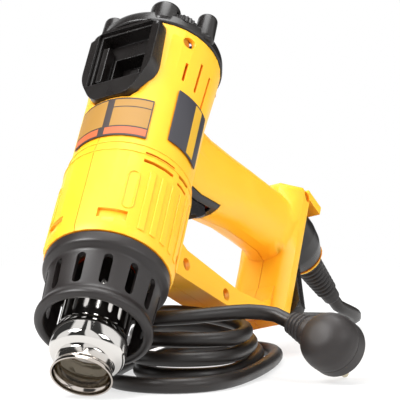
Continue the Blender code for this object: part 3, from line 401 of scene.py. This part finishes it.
seat = Matrix((PIN_WAY, NECK_WAY, PIN_WAY.cross(NECK_WAY))).transposed().to_4x4()
PLUG = Matrix.Translation((PLUG_CENTRE + SLIDE) * MM) @ seat
back = -PLUG_DEPTH / 2
face = back + PLUG_DEPTH
body_line = fillet(((back, 0), (back + 0.6, PLUG_R * 0.45), (back + 3.5, PLUG_R * 0.76),
                    (back + 8.5, PLUG_R * 0.95), (back + 14, PLUG_R), (back + 16.5, PLUG_R),
                    (back + 16.9, PLUG_R - 0.4), (back + 17.3, PLUG_R), (face - 1.5, PLUG_R),
                    (face, PLUG_R - 1.5), (face, 0)), 3.0, 5)
neck_line = [(10.0, 0), (10.0, 9.3), (PLUG_R - 0.5, 8.8), (PLUG_R + 1.0, 7.4)]
for i in range(4):
    y = PLUG_R + 1.5 + i * 2.8
    radius = 8.2 - 0.6 * i
    neck_line += [(y, radius - 0.2), (y + 0.5, radius), (y + 1.4, radius - 0.1), (y + 1.8, radius - 1.3),
                  (y + 2.4, radius - 1.3)]
neck_line += [(NECK_REACH - 0.4, CORD_D / 2 + 0.9), (NECK_REACH, CORD_D / 2 + 0.5), (NECK_REACH, 0)]
plug_pvc = textured("moulded PVC plug", "#241F1E", 0.5, 0.4, 0.35, 0.1)
finished("plug_moulding", merged(revolve(body_line, 72), revolve(fillet(neck_line, 0.4, 3), 48, "Y")),
         plug_pvc, BODY, PLUG, 35, ("plug_body",))
pin_brass = textured("nickel plated brass pin", "#C9BFA6", 0.22, 0.3, 0.1, 0.1, 1.0)
for name, side in (("plug_pin_a", -1), ("plug_pin_b", 1)):
    pin_line = fillet(((face + 0.3, 0), (face + 0.3, PIN_R), (face + PIN_LENGTH - 1.2, PIN_R),
                       (face + PIN_LENGTH, PIN_R - 1.0), (face + PIN_LENGTH, 0)), 0.8, 4)
    finished(name + "_plated", revolve(pin_line, 32, "X", (0, 0, side * PIN_SPACING / 2)), pin_brass, BODY,
             PLUG, 40, (name,))


# Strain relief
# A soft rubber sleeve, ribbed and tapered, that keeps the lead from kinking under the stand's hub.
RELIEF_R = 9.0
RELIEF_LENGTH = 40.0
COLLAR_END = -194.2
RELIEF_RIBS = 9
pitch = (RELIEF_LENGTH - 9) / RELIEF_RIBS
FLANGE_R = 11.1
FLANGE_TOP = -153.2
FLANGE_LOW = -156.1
sleeve_line = [(FLANGE_TOP, 0), (FLANGE_TOP, FLANGE_R), (FLANGE_LOW, FLANGE_R), (FLANGE_LOW, RELIEF_R + 0.6),
               (COLLAR_END - 1, RELIEF_R + 0.6)]
for i in range(RELIEF_RIBS):
    z = COLLAR_END - 1 - i * pitch
    outer = RELIEF_R - 2.6 * i / RELIEF_RIBS
    sleeve_line += [(z - 0.25 * pitch, outer + 0.35), (z - 0.62 * pitch, outer + 0.4),
                    (z - 0.72 * pitch, outer - 1.2), (z - pitch, outer - 1.2)]
tip = COLLAR_END - RELIEF_LENGTH
sleeve_line += [(tip + 6.0, CORD_D / 2 + 1.6), (tip + 1.0, CORD_D / 2 + 1.3), (tip, CORD_D / 2 + 0.8),
                (tip, 0)]
rubber_sleeve = textured("moulded rubber sleeve", "#1B1716", 0.5, 0.5, 0.3, 0.1)
finished("strain_relief_sleeve", revolve(fillet(sleeve_line, 0.4, 3), 56, "Z", (HUB_X, 0, 0)), rubber_sleeve,
         BODY, TOOL, 35, ("strain_relief",))


# Stand
# A black nylon hub that turns on the base round the lead's outlet, with a flat rounded arm.
ARM_ANGLE = 14.0
HUB_TOP = -159.3
HUB_R = 18.0
HUB_BORE_R = 10.6
black_nylon = textured("moulded black nylon", "#171413", 0.27, 0.5, 0.25, 0.1, edge_mm=0.5)
hub_line = fillet(((HUB_TOP, HUB_BORE_R), (HUB_TOP, HUB_R), (HUB_TOP - 12, HUB_R), (HUB_TOP - 22, 16.5),
                   (HUB_TOP - 32, 13.0), (HUB_TOP - 32, HUB_BORE_R)), 1.2, 4)
hub = revolve(hub_line, 96, "Z", closed=True)
ARM_HALF_WIDTH = 6.5
ARM_START = 12.4
ARM_LENGTH = 76.0
round_x = ARM_LENGTH - ARM_HALF_WIDTH
arm_outline = [(ARM_START, -ARM_HALF_WIDTH), (round_x, -ARM_HALF_WIDTH)]
for i in range(1, 16):
    a = math.radians(-90 + 180 * i / 16)
    arm_outline.append((round_x + ARM_HALF_WIDTH * math.cos(a), ARM_HALF_WIDTH * math.sin(a)))
arm_outline += [(round_x, ARM_HALF_WIDTH), (ARM_START, ARM_HALF_WIDTH)]


def slab(outline, low, high, axis="Z", edge=0.0, segments=3):
    """A plate from an outline, its long edges rounded."""
    shape = bmesh.new()
    order = {"Z": lambda p, h: (p[0], p[1], h), "Y": lambda p, h: (p[0], h, p[1])}
    under = [shape.verts.new(order[axis](p, low)) for p in outline]
    over = [shape.verts.new(order[axis](p, high)) for p in outline]
    shape.faces.new(under[::-1])
    shape.faces.new(over)
    for i in range(len(outline)):
        j = (i + 1) % len(outline)
        shape.faces.new((under[i], under[j], over[j], over[i]))
    if edge:
        rim = [e for e in shape.edges if all(v in under for v in e.verts) or all(v in over for v in e.verts)]
        bmesh.ops.bevel(shape, geom=rim, offset=edge, offset_type="OFFSET", segments=segments, profile=0.5,
                        affect="EDGES", clamp_overlap=True)
    return shape


STAND = TOOL @ Matrix.Translation((HUB_X * MM, 0, 0)) @ Matrix.Rotation(math.radians(ARM_ANGLE), 4, "Z")
finished("stand_hub_and_arm", merged(hub, slab(arm_outline, HUB_TOP - 9.0, HUB_TOP - 0.6, "Z", 1.4, 4)),
         black_nylon, "stand", STAND, 35, ("stand",))


# Yellow housing
# Two halves of glass-filled ABS, injection moulded, screwed together on the seam along the top. The front
# grows at a shoulder, with ribs, an embossed outline and notches, and a thin lining is behind its side vents.
# Its recesses are painted a deeper orange by ambient occlusion, painted shade for the warm light that gathers
# in them.
# The orange #FA8E12 is painted shade, mixed into the housing's hollows.
abs_yellow = textured("moulded yellow ABS", "#FBBD20", 0.4, 0.45, 0.12, 0.03, edge_mm=0.5, painted_recess_shade="#FA8E12",
                      Subsurface_Weight=0.12, Subsurface_Scale=0.004)
for shader in abs_yellow.node_tree.nodes:
    if shader.type == "BSDF_PRINCIPLED":
        shader.inputs["Subsurface Radius"].default_value = (1.0, 0.45, 0.08)


def copied(cad_node, name, material, body, bevel=0.0, angle=35.0, cutters=(), operation="DIFFERENCE"):
    """A dressed copy of a rigid CAD node: its flats joined, its cutters applied and its edges rounded."""
    shape = bmesh.new()
    shape.from_mesh(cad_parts[cad_node].data)
    bmesh.ops.remove_doubles(shape, verts=shape.verts, dist=0.00001)
    bmesh.ops.dissolve_limit(shape, angle_limit=math.radians(0.6), verts=shape.verts, edges=shape.edges)
    mesh = bpy.data.meshes.new(name)
    shape.to_mesh(mesh)
    shape.free()
    made = bpy.data.objects.new(name, mesh)
    bpy.context.collection.objects.link(made)
    for cutter in cutters:
        step = made.modifiers.new("cut", "BOOLEAN")
        step.operation = operation
        step.object = cutter
        step.solver = "EXACT"
    if bevel:
        step = made.modifiers.new("rounded edges", "BEVEL")
        step.width = bevel * MM
        step.segments = 3
        step.limit_method = "ANGLE"
        step.angle_limit = math.radians(angle)
    if cutters or bevel:
        graph = bpy.context.evaluated_depsgraph_get()
        solid = bpy.data.meshes.new_from_object(made.evaluated_get(graph))
        made.modifiers.clear()
        made.data = solid
        bpy.data.meshes.remove(mesh)
        mesh = solid
        mesh.name = name
    mesh.materials.clear()
    mesh.materials.append(material)
    mesh.shade_smooth()
    mesh.set_sharp_from_angle(angle=math.radians(angle))
    weigh = made.modifiers.new("flat faces stay flat", "WEIGHTED_NORMAL")
    weigh.keep_sharp = True
    graph = bpy.context.evaluated_depsgraph_get()
    solid = bpy.data.meshes.new_from_object(made.evaluated_get(graph))
    made.modifiers.clear()
    made.data = solid
    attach(made, body)
    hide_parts(cad_node)
    return made


def patch(x_span, degrees_span, radius, depth, steps=10, edge=0.0):
    """A curved block on the barrel's skin, from its inner radius outwards."""
    shape = bmesh.new()
    grid = {}
    for k, r in enumerate((radius, radius + depth)):
        for j, x in enumerate(x_span):
            for i in range(steps + 1):
                a = math.radians(degrees_span[0] + (degrees_span[1] - degrees_span[0]) * i / steps)
                grid[i, j, k] = shape.verts.new((x, r * math.sin(a), r * math.cos(a)))
    for i in range(steps):
        for k in (0, 1):
            shape.faces.new((grid[i, 0, k], grid[i + 1, 0, k], grid[i + 1, 1, k], grid[i, 1, k]))
        for j in (0, 1):
            shape.faces.new((grid[i, j, 0], grid[i + 1, j, 0], grid[i + 1, j, 1], grid[i, j, 1]))
    for i in (0, steps):
        shape.faces.new((grid[i, 0, 0], grid[i, 1, 0], grid[i, 1, 1], grid[i, 0, 1]))
    bmesh.ops.recalc_face_normals(shape, faces=shape.faces)
    if edge:
        sharp = [e for e in shape.edges if e.calc_face_angle(0) > math.radians(50)]
        bmesh.ops.bevel(shape, geom=sharp, offset=edge, offset_type="OFFSET", segments=3, profile=0.5,
                        affect="EDGES", clamp_overlap=True)
    return shape


FRONT_R = 36.8
NOTCH_X = (162.0, 168.5)
NOTCH_TURNS = ((18, 44), (112, 136))
RIB_TURNS = (58, 70, 82, 94, 106, 118)
RIB_HALF_TURN = 3.4
for side, name in ((1, "left"), (-1, "right")):
    blocks = []
    for low, high in NOTCH_TURNS:
        span = sorted((side * low, side * high))
        blocks.append(patch(NOTCH_X, span, FRONT_R - 2.0, 6.0))
    cutter = finished("notch_cutter_" + name, merged(*blocks), abs_yellow, None)
    copied(name + "_shell", name + "_housing_half", abs_yellow, BODY, 0.0, 33.0, (cutter,))
    bpy.data.objects.remove(cutter)

ribs = []
for side in (1, -1):
    for degrees in RIB_TURNS:
        start_x = 129.5 if degrees < 100 else 124.0
        span = (side * degrees - RIB_HALF_TURN, side * degrees + RIB_HALF_TURN)
        ribs.append(patch((start_x, 171.0), span, FRONT_R - 0.6, 1.25, 6, 0.8))
finished("front_ribs", merged(*ribs), abs_yellow, BODY, TOOL, 40)
VENT_X = (31.5, 64.0)
VENT_TURNS = (59, 102)
LINING_R = 31.6
linings = []
for side in (1, -1):
    span = sorted(side * degrees for degrees in VENT_TURNS)
    linings.append(patch(VENT_X, span, LINING_R, 0.6, 12))
finished("vent_linings", merged(*linings), abs_yellow, BODY, TOOL, 40)


def on_barrel(x, degrees, radius):
    a = math.radians(degrees)
    return Vector((x, radius * math.sin(a), radius * math.cos(a)))


def bead(points, radius, sides=8, closed=True):
    """A thin round bead along a chain of points in the tool's frame."""
    shape = bmesh.new()
    rings = []
    count = len(points)
    for i, p in enumerate(points):
        ahead = points[(i + 1) % count] if closed or i + 1 < count else p
        behind = points[i - 1] if closed or i else p
        way = (ahead - behind).normalized()
        out = Vector((0, p.y, p.z)).normalized()
        across = way.cross(out).normalized()
        out = across.cross(way)
        ring = []
        for k in range(sides):
            a = 2 * math.pi * k / sides
            ring.append(shape.verts.new(p + (across * math.cos(a) + out * math.sin(a)) * radius))
        rings.append(ring)
    for i in range(count if closed else count - 1):
        one, two = rings[i], rings[(i + 1) % count]
        for k in range(sides):
            shape.faces.new((one[k], one[(k + 1) % sides], two[(k + 1) % sides], two[k]))
    if not closed:
        shape.faces.new(rings[0][::-1])
        shape.faces.new(rings[-1])
    return shape


CAPSULE_X = 146.0
CAPSULE_TURN = 42.0
beads = []
for side in (1, -1):
    line = []
    for i in range(24):
        a = 2 * math.pi * i / 24
        x = CAPSULE_X + (10.0 if math.cos(a) > 0 else -10.0) + 3.5 * math.cos(a)
        line.append(on_barrel(x, side * (CAPSULE_TURN + 5.0 * math.sin(a)), FRONT_R))
    beads.append(bead(line, 0.42))
for x, radius in ((112.2, 35.9), (118.6, FRONT_R)):
    beads.append(bead([on_barrel(x, 4 * i, radius) for i in range(90)], 0.35))
finished("embossed_lines", merged(*beads), abs_yellow, BODY, TOOL, 60)


# Screws
# Pan heads deep in round wells of the left half, coloured a yellow passivated orange so that the wells read
# as shaded yellow plastic: the screws are real, and their orange colour is painted shade of the wells.
screw_steel_painted_well_shade = textured("orange screw steel, painted well shade", "#C88420", 0.62, 0.3, 0.15, 0.1, 0.6)
for number in range(1, 6):
    copied("shell_screw_" + str(number), "housing_screw_" + str(number), screw_steel_painted_well_shade, BODY, 0.0,
           40.0)


# Rating label and side badges
# Printed polyester film under a matt lacquer: a dark ground with plain tan and rust fields, left bare.
# The badges are dark anodised plates with a plain yellow foot, glued in shallow seats.
film_dark = textured("printed film, dark ground", "#3B3230", 0.45, 0.5, 0.08, 0.05)
film_tan = textured("printed film, tan field", "#A67B36", 0.45, 0.5, 0.08, 0.05)
film_rust = textured("printed film, rust field", "#BF6239", 0.45, 0.5, 0.08, 0.05)
LABEL_R = 35.6
LABEL_X = (78.0, 107.0)
LABEL_TURNS = (-34, 44)
TAN_FIELDS = (((79.2, 84.6), (7.5, 43)), ((85.4, 99.6), (7.5, 43)), ((79.2, 99.6), (-33, 0.5)))
RUST_FIELDS = (((100.6, 105.8), (3.5, 43)), ((100.6, 105.8), (-33, -3)))
finished("label_film", patch(LABEL_X, LABEL_TURNS, LABEL_R, 0.36, 40), film_dark, BODY, TOOL, 40,
         ("rating_label",))
for name, fields, film in (("label_tan_fields", TAN_FIELDS, film_tan),
                           ("label_rust_fields", RUST_FIELDS, film_rust)):
    printed = [patch(x_span, turns, LABEL_R + 0.3, 0.12, 16) for x_span, turns in fields]
    finished(name, merged(*printed), film, BODY, TOOL, 40)
badge_dark = textured("anthracite badge plate", "#37363C", 0.4, 0.4, 0.1, 0.06)
badge_yellow = textured("badge yellow band", "#D8A928", 0.4, 0.4, 0.1, 0.05)
BADGE_X = (62.0, 101.0)
BADGE_TURNS = (64, 108)
BAND_X = (63.2, 99.8)
BAND_TURNS = (86.5, 97.5)
for side, name in ((1, "left"), (-1, "right")):
    span = sorted(side * degrees for degrees in BADGE_TURNS)
    plate = patch(BADGE_X, span, LABEL_R + 0.2, 0.55, 24, 0.2)
    finished(name + "_badge_plate", plate, badge_dark, BODY, TOOL, 40, (name + "_badge",))
    span = sorted(side * degrees for degrees in BAND_TURNS)
    band = patch(BAND_X, span, LABEL_R + 0.6, 0.22, 12)
    finished(name + "_badge_band", band, badge_yellow, BODY, TOOL, 40)


# Front guard
# A black nylon heat guard, moulded with slots so that cool air runs over the hot tube, and a rolled lip.
FRONT_X = 176.9
SLOTS = 13
FIRST_SLOT_SHARE = 0.35
GUARD_FRONT_X = 219.3
guard_nylon = textured("glass-filled black nylon", "#1E1918", 0.4, 0.55, 0.4, 0.1, edge_mm=0.4)
x0 = FRONT_X + 0.3
guard_line = fillet(((x0 - 5, 33.0), (x0, 33.0), (x0, 35.3), (x0 + 7, 35.3), (x0 + 9.5, 31.8),
                     (GUARD_FRONT_X - 8, 30.6), (GUARD_FRONT_X - 4.5, 32.7), (GUARD_FRONT_X - 1.5, 32.7),
                     (GUARD_FRONT_X, 29.7), (GUARD_FRONT_X - 1.5, 27.0), (GUARD_FRONT_X - 5, 28.0),
                     (x0 - 5, 29.2)), 1.6, 5)
guard_body = finished("guard_body", revolve(guard_line, 156, closed=True), guard_nylon, None,
                      Matrix.Identity(4), 35)
SLOT_START = x0 + 12.0
SLOT_LENGTH = 20.0
SLOT_HALF_WIDTH = 2.6
slot_outline = []
for way, middle in ((1, SLOT_START + SLOT_LENGTH - SLOT_HALF_WIDTH), (-1, SLOT_START + SLOT_HALF_WIDTH)):
    for i in range(9):
        a = math.radians(-90 + 180 * i / 8)
        slot_outline.append((middle + way * SLOT_HALF_WIDTH * math.cos(a),
                             way * SLOT_HALF_WIDTH * math.sin(a)))
slot_cutter = finished("slot_cutter", slab(slot_outline, 22.0, 40.0), guard_nylon, None, Matrix.Identity(4))

group = bpy.data.node_groups.new("slots round the guard", "GeometryNodeTree")
group.is_modifier = True
sockets = group.interface
sockets.new_socket("Geometry", in_out="INPUT", socket_type="NodeSocketGeometry")
inputs = {}
for label, kind in (("Slots", "NodeSocketInt"), ("First slot turn", "NodeSocketFloat"),
                    ("Cutter", "NodeSocketObject"), ("Finish", "NodeSocketMaterial")):
    inputs[label] = sockets.new_socket(label, in_out="INPUT", socket_type=kind).identifier
sockets.new_socket("Geometry", in_out="OUTPUT", socket_type="NodeSocketGeometry")
given = group.nodes.new("NodeGroupInput")
cutter_info = node(group, "GeometryNodeObjectInfo", Object=given.outputs["Cutter"])
line = node(group, "GeometryNodeMeshLine", Count=given.outputs["Slots"], Offset=(0.0, 0.0, 0.0))
index = node(group, "GeometryNodeInputIndex")
step = node(group, "ShaderNodeMath", [("operation", "DIVIDE")], i0=2 * math.pi, i1=given.outputs["Slots"])
shifted = node(group, "ShaderNodeMath", [("operation", "ADD")], i0=index.outputs[0],
               i1=given.outputs["First slot turn"])
angle = node(group, "ShaderNodeMath", [("operation", "MULTIPLY")], i0=shifted.outputs[0], i1=step.outputs[0])
back_turn = node(group, "ShaderNodeMath", [("operation", "MULTIPLY")], i0=angle.outputs[0], i1=-1.0)
spin = node(group, "ShaderNodeCombineXYZ", X=back_turn.outputs[0])
placed = node(group, "GeometryNodeInstanceOnPoints", Points=line.outputs[0],
              Instance=cutter_info.outputs["Geometry"], Rotation=spin.outputs[0])
solid_slots = node(group, "GeometryNodeRealizeInstances", Geometry=placed.outputs[0])
slotted = node(group, "GeometryNodeMeshBoolean", [("operation", "DIFFERENCE")])
group.links.new(given.outputs["Geometry"], slotted.inputs["Mesh 1"])
group.links.new(solid_slots.outputs[0], slotted.inputs["Mesh 2"])
finish = node(group, "GeometryNodeSetMaterial", Geometry=slotted.outputs[0], Material=given.outputs["Finish"])
result = group.nodes.new("NodeGroupOutput")
group.links.new(finish.outputs[0], result.inputs[0])

slots = guard_body.modifiers.new("slots", "NODES")
slots.node_group = group
slots[inputs["Slots"]] = SLOTS
slots[inputs["First slot turn"]] = FIRST_SLOT_SHARE
slots[inputs["Cutter"]] = slot_cutter
slots[inputs["Finish"]] = guard_nylon


def settled(made, name, body, replaced, angle=35.0, matrix=TOOL):
    """Makes what the modifiers give a plain mesh, places it and lets it ride on its body."""
    graph = bpy.context.evaluated_depsgraph_get()
    mesh = bpy.data.meshes.new_from_object(made.evaluated_get(graph))
    made.modifiers.clear()
    made.data = mesh
    mesh.transform(matrix)
    mesh.shade_smooth()
    mesh.set_sharp_from_angle(angle=math.radians(angle))
    made.name = name
    mesh.name = name
    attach(made, body)
    if replaced:
        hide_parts(*replaced)
    return made


settled(guard_body, "slotted_guard", BODY, ("front_guard",))
bpy.data.objects.remove(slot_cutter)


# Nozzle
# Steel tube, spun to a shoulder and a short rim and chromium plated. Heat has browned its inside.
TIP_X = 249.4
WALL_N = 0.9
tube_line = [(158.0, 19.0), (TIP_X - 28.0, 19.0), (TIP_X - 25.6, 20.0), (TIP_X - 23.0, 20.8),
             (TIP_X - 15.0, 20.8), (TIP_X - 12.5, 19.6), (TIP_X - 10.6, 16.4), (TIP_X - 9.0, 15.4),
             (TIP_X - 3.6, 15.7), (TIP_X - 2.0, 16.8), (TIP_X, 17.0)]
inside = [(x, r - WALL_N) for x, r in reversed(tube_line)]
chromed = textured("chromium plated steel tube", "#D6D3CF", 0.09, 1.2, 0.02, 0.05, 1.0)
tree = chromed.node_tree
shader = next(n for n in tree.nodes if n.type == "BSDF_PRINCIPLED")
at = node(tree, "ShaderNodeTexCoord").outputs["Object"]
axis_way = (TOOL.to_3x3() @ Vector((1, 0, 0))).normalized()
origin = TOOL.translation
offset = node(tree, "ShaderNodeVectorMath", [("operation", "SUBTRACT")], i0=at, i1=tuple(origin))
along = node(tree, "ShaderNodeVectorMath", [("operation", "DOT_PRODUCT")], i0=offset.outputs[0],
             i1=tuple(axis_way))
heat = node(tree, "ShaderNodeMapRange", Value=along.outputs["Value"], From_Min=(TIP_X - 12) * MM,
            From_Max=TIP_X * MM, To_Min=0.0, To_Max=0.35)
old_tone = shader.inputs["Base Color"].links[0].from_socket
tint = node(tree, "ShaderNodeMix", [("data_type", "RGBA")], Factor=heat.outputs[0])
tree.links.new(old_tone, tint.inputs[6])
tint.inputs[7].default_value = linear("#A08468")
tree.links.new(tint.outputs[2], shader.inputs["Base Color"])
finished("chromed_nozzle", revolve(fillet(tube_line, 1.2, 5) + fillet(inside, 1.0, 4), 128, closed=True),
         chromed, BODY, TOOL, 50, ("nozzle_tube",))


# Rear cap, feet and heat dial
# A black nylon intake cap with four rounded feet to stand the tool on, and a knurled thumb wheel. Each foot
# has its angle, distance from the axis, radius and rear end. Each ring of the grille has its radii and slots.
CAP_FRONT_X = 17.2
CAP_REAR_X = 2.5
CAP_R = 38.5
SPIGOT_R = 34.5
FEET = ((-79.0, 34.4, 6.0, -3.5), (-34.0, 32.0, 6.5, 0.0), (33.0, 29.6, 9.0, -1.0), (79.0, 34.4, 6.0, -5.0))
GRILLE_RINGS = ((6.0, 12.0, 6), (14.0, 20.0, 10))
DIAL_ANGLE = 55.0
DIAL_RING_R = 26.3
POCKET_R = 11.3
POCKET_X = (4.2, 11.8)
SPINDLE_BORE_R = 2.3
FRAME_NOTCH_HALF_WIDTH = 24.1
cap_line = fillet(((CAP_REAR_X, 0), (CAP_REAR_X, CAP_R - 8), (CAP_FRONT_X - 8, CAP_R - 1.1),
                   (CAP_FRONT_X, CAP_R), (CAP_FRONT_X, SPIGOT_R), (CAP_FRONT_X + 2, SPIGOT_R),
                   (CAP_FRONT_X + 2, SPIGOT_R - 2), (CAP_FRONT_X - 6, SPIGOT_R - 2),
                   (CAP_REAR_X + 2.4, CAP_R - 9.5), (CAP_REAR_X + 2.4, 0)), 1.6, 5)
feet = []
for degrees, ring_r, foot_r, rear in FEET:
    foot_line = fillet(((rear, 0), (rear, foot_r), (CAP_FRONT_X - 2, foot_r + 0.3), (CAP_FRONT_X - 2, 0)),
                       3.0, 6)
    feet.append(revolve(foot_line, 48, "X", on_barrel(0, degrees, ring_r)))
grille = []
for low, high, count in GRILLE_RINGS:
    for i in range(count):
        middle = 360 * (i + 0.5) / count
        if count < 10 or abs(middle - DIAL_ANGLE) > 30:
            span = (middle - 60 / count, middle + 120 / count)
            grille.append(patch((CAP_REAR_X - 2, CAP_REAR_X + 4), span, low, high - low, 6))
dial_at = on_barrel(0, DIAL_ANGLE, DIAL_RING_R)
pocket_line = ((POCKET_X[0], 0), (POCKET_X[0], POCKET_R), (POCKET_X[1], POCKET_R), (POCKET_X[1], 0))
pocket = revolve(pocket_line, 64, "X", dial_at)
bore_line = ((-1, 0), (-1, SPINDLE_BORE_R), (CAP_FRONT_X + 3.8, SPINDLE_BORE_R), (CAP_FRONT_X + 3.8, 0))
bore = revolve(bore_line, 24, "X", dial_at)
notch_outline = ((CAP_FRONT_X, 15), (CAP_FRONT_X + 5, 15), (CAP_FRONT_X + 5, 60), (CAP_FRONT_X, 60))
notch = slab(notch_outline, -FRAME_NOTCH_HALF_WIDTH, FRAME_NOTCH_HALF_WIDTH, "Y")
tools = []
for name, shape in (("cap feet", merged(*feet)), ("cap grille", merged(*grille)), ("dial pocket", pocket),
                    ("dial bore", bore), ("frame notch", notch)):
    tools.append(finished(name, shape, black_nylon, None, Matrix.Identity(4)))
intake_cap = finished("intake_cap", revolve(cap_line, 120), black_nylon, None, Matrix.Identity(4))
for tool in tools:
    step = intake_cap.modifiers.new(tool.name, "BOOLEAN")
    step.object = tool
    step.solver = "EXACT"
    step.operation = "UNION" if tool is tools[0] else "DIFFERENCE"
settled(intake_cap, "intake_cap", BODY, ("rear_cap",))
for tool in tools:
    bpy.data.objects.remove(tool)
copied("heat_dial", "knurled_dial", black_nylon, "dial", 0.25, 25.0)


# Top frame and tray
# A black nylon frame, its edges broadly rounded, with a stepped tray let into it.
FRAME_REAR_X = 17.9
FRAME_FRONT_X = 76.0
FRAME_HALF_WIDTH = 23.5
FRAME_TOP_Z = 37.2
one_side = ((FRAME_REAR_X, FRAME_HALF_WIDTH), (57.0, FRAME_HALF_WIDTH), (72.0, 15.0), (FRAME_FRONT_X, 10.0))
other_side = tuple((x, -y) for x, y in reversed(one_side))
middle = (FRAME_REAR_X, 0)
frame_outline = fillet((middle,) + one_side + other_side + (middle,), 7.0, 6)
envelope = finished("frame_envelope", slab(frame_outline[:-1], 10.0, FRAME_TOP_Z, "Z", 3.0, 6), black_nylon,
                    None)
copied("top_frame", "tray_surround", black_nylon, BODY, 0.9, 28.0, (envelope,), "INTERSECT")
bpy.data.objects.remove(envelope)
copied("top_tray", "stepped_tray", black_nylon, BODY, 0.4, 40.0)
copied("tray_bar", "tray_rail", black_nylon, BODY, 0.6, 40.0)
copied("tray_stud", "tray_boss", black_nylon, BODY, 0.4, 40.0)


# Trigger
# A glossy black nylon lever with moulded ridges. The skirt behind it moves with it and closes the view into
# the handle, and the surround frames its slot.
trigger_nylon = textured("polished black nylon", "#1D1C1F", 0.2, 0.6, 0.1, 0.1, edge_mm=0.4)
copied("trigger", "ridged_trigger", trigger_nylon, "trigger", 0.5, 25.0)
skirt_outline = ((72.8, -52.2), (81.0, -51.2), (82.0, -64.6), (75.5, -63.2), (72.9, -57.0))
SKIRT_HALF_WIDTH = 8.5
skirt = slab(skirt_outline, -SKIRT_HALF_WIDTH, SKIRT_HALF_WIDTH, "Y", 0.4)
finished("trigger_skirt", skirt, trigger_nylon, "trigger", TOOL, 40)
copied("switch_bezel", "switch_surround", black_nylon, BODY, 0.5, 40.0)


# Stand collar
# The yellow ring under the stand's hub, round the root of the strain relief.
copied("stand_collar", "yellow_collar", abs_yellow, BODY, 0.0, 40.0)


# Inside
# The motor, fan, heater and switch keep their CAD shapes; each gets its own finish.
inner_steel = textured("drawn steel can", "#8C8D90", 0.35, 0.6, 0.2, 0.06, 1.0)
turned_brass = textured("sintered bronze bush", "#B08A4A", 0.4, 0.3, 0.3, 0.1, 1.0)
fired_ceramic = textured("fired cordierite ceramic", "#CFC6B4", 0.75, 0.6, 0.5, 0.08)
mica_film = textured("rolled mica sheet", "#B59A6E", 0.4, 1.5, 0.3, 0.2)
heater_wire = textured("oxidised resistance wire", "#5B4A40", 0.5, 0.4, 0.4, 0.15, 0.8)
circuit_board = textured("glass epoxy board", "#2F5E3A", 0.35, 0.8, 0.15, 0.1)
inner_nylon = textured("matt black nylon", "#1F1E20", 0.55, 0.5, 0.3, 0.1)
for material, names in (
        (inner_steel, ("motor_body", "motor_shaft", "trigger_pin")),
        (turned_brass, ("motor_bush",)),
        (fired_ceramic, ("heater_core", "core_spider", "heater_seat")),
        (mica_film, ("mica_sleeve",)),
        (heater_wire, ("heating_element",)),
        (circuit_board, ("control_board", "dial_sensor")),
        (inner_nylon, ("fan_impeller", "motor_bracket", "cord_clamp", "switch_body"))):
    for cad_node in names:
        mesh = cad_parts[cad_node].data
        mesh.materials.clear()
        mesh.materials.append(material)
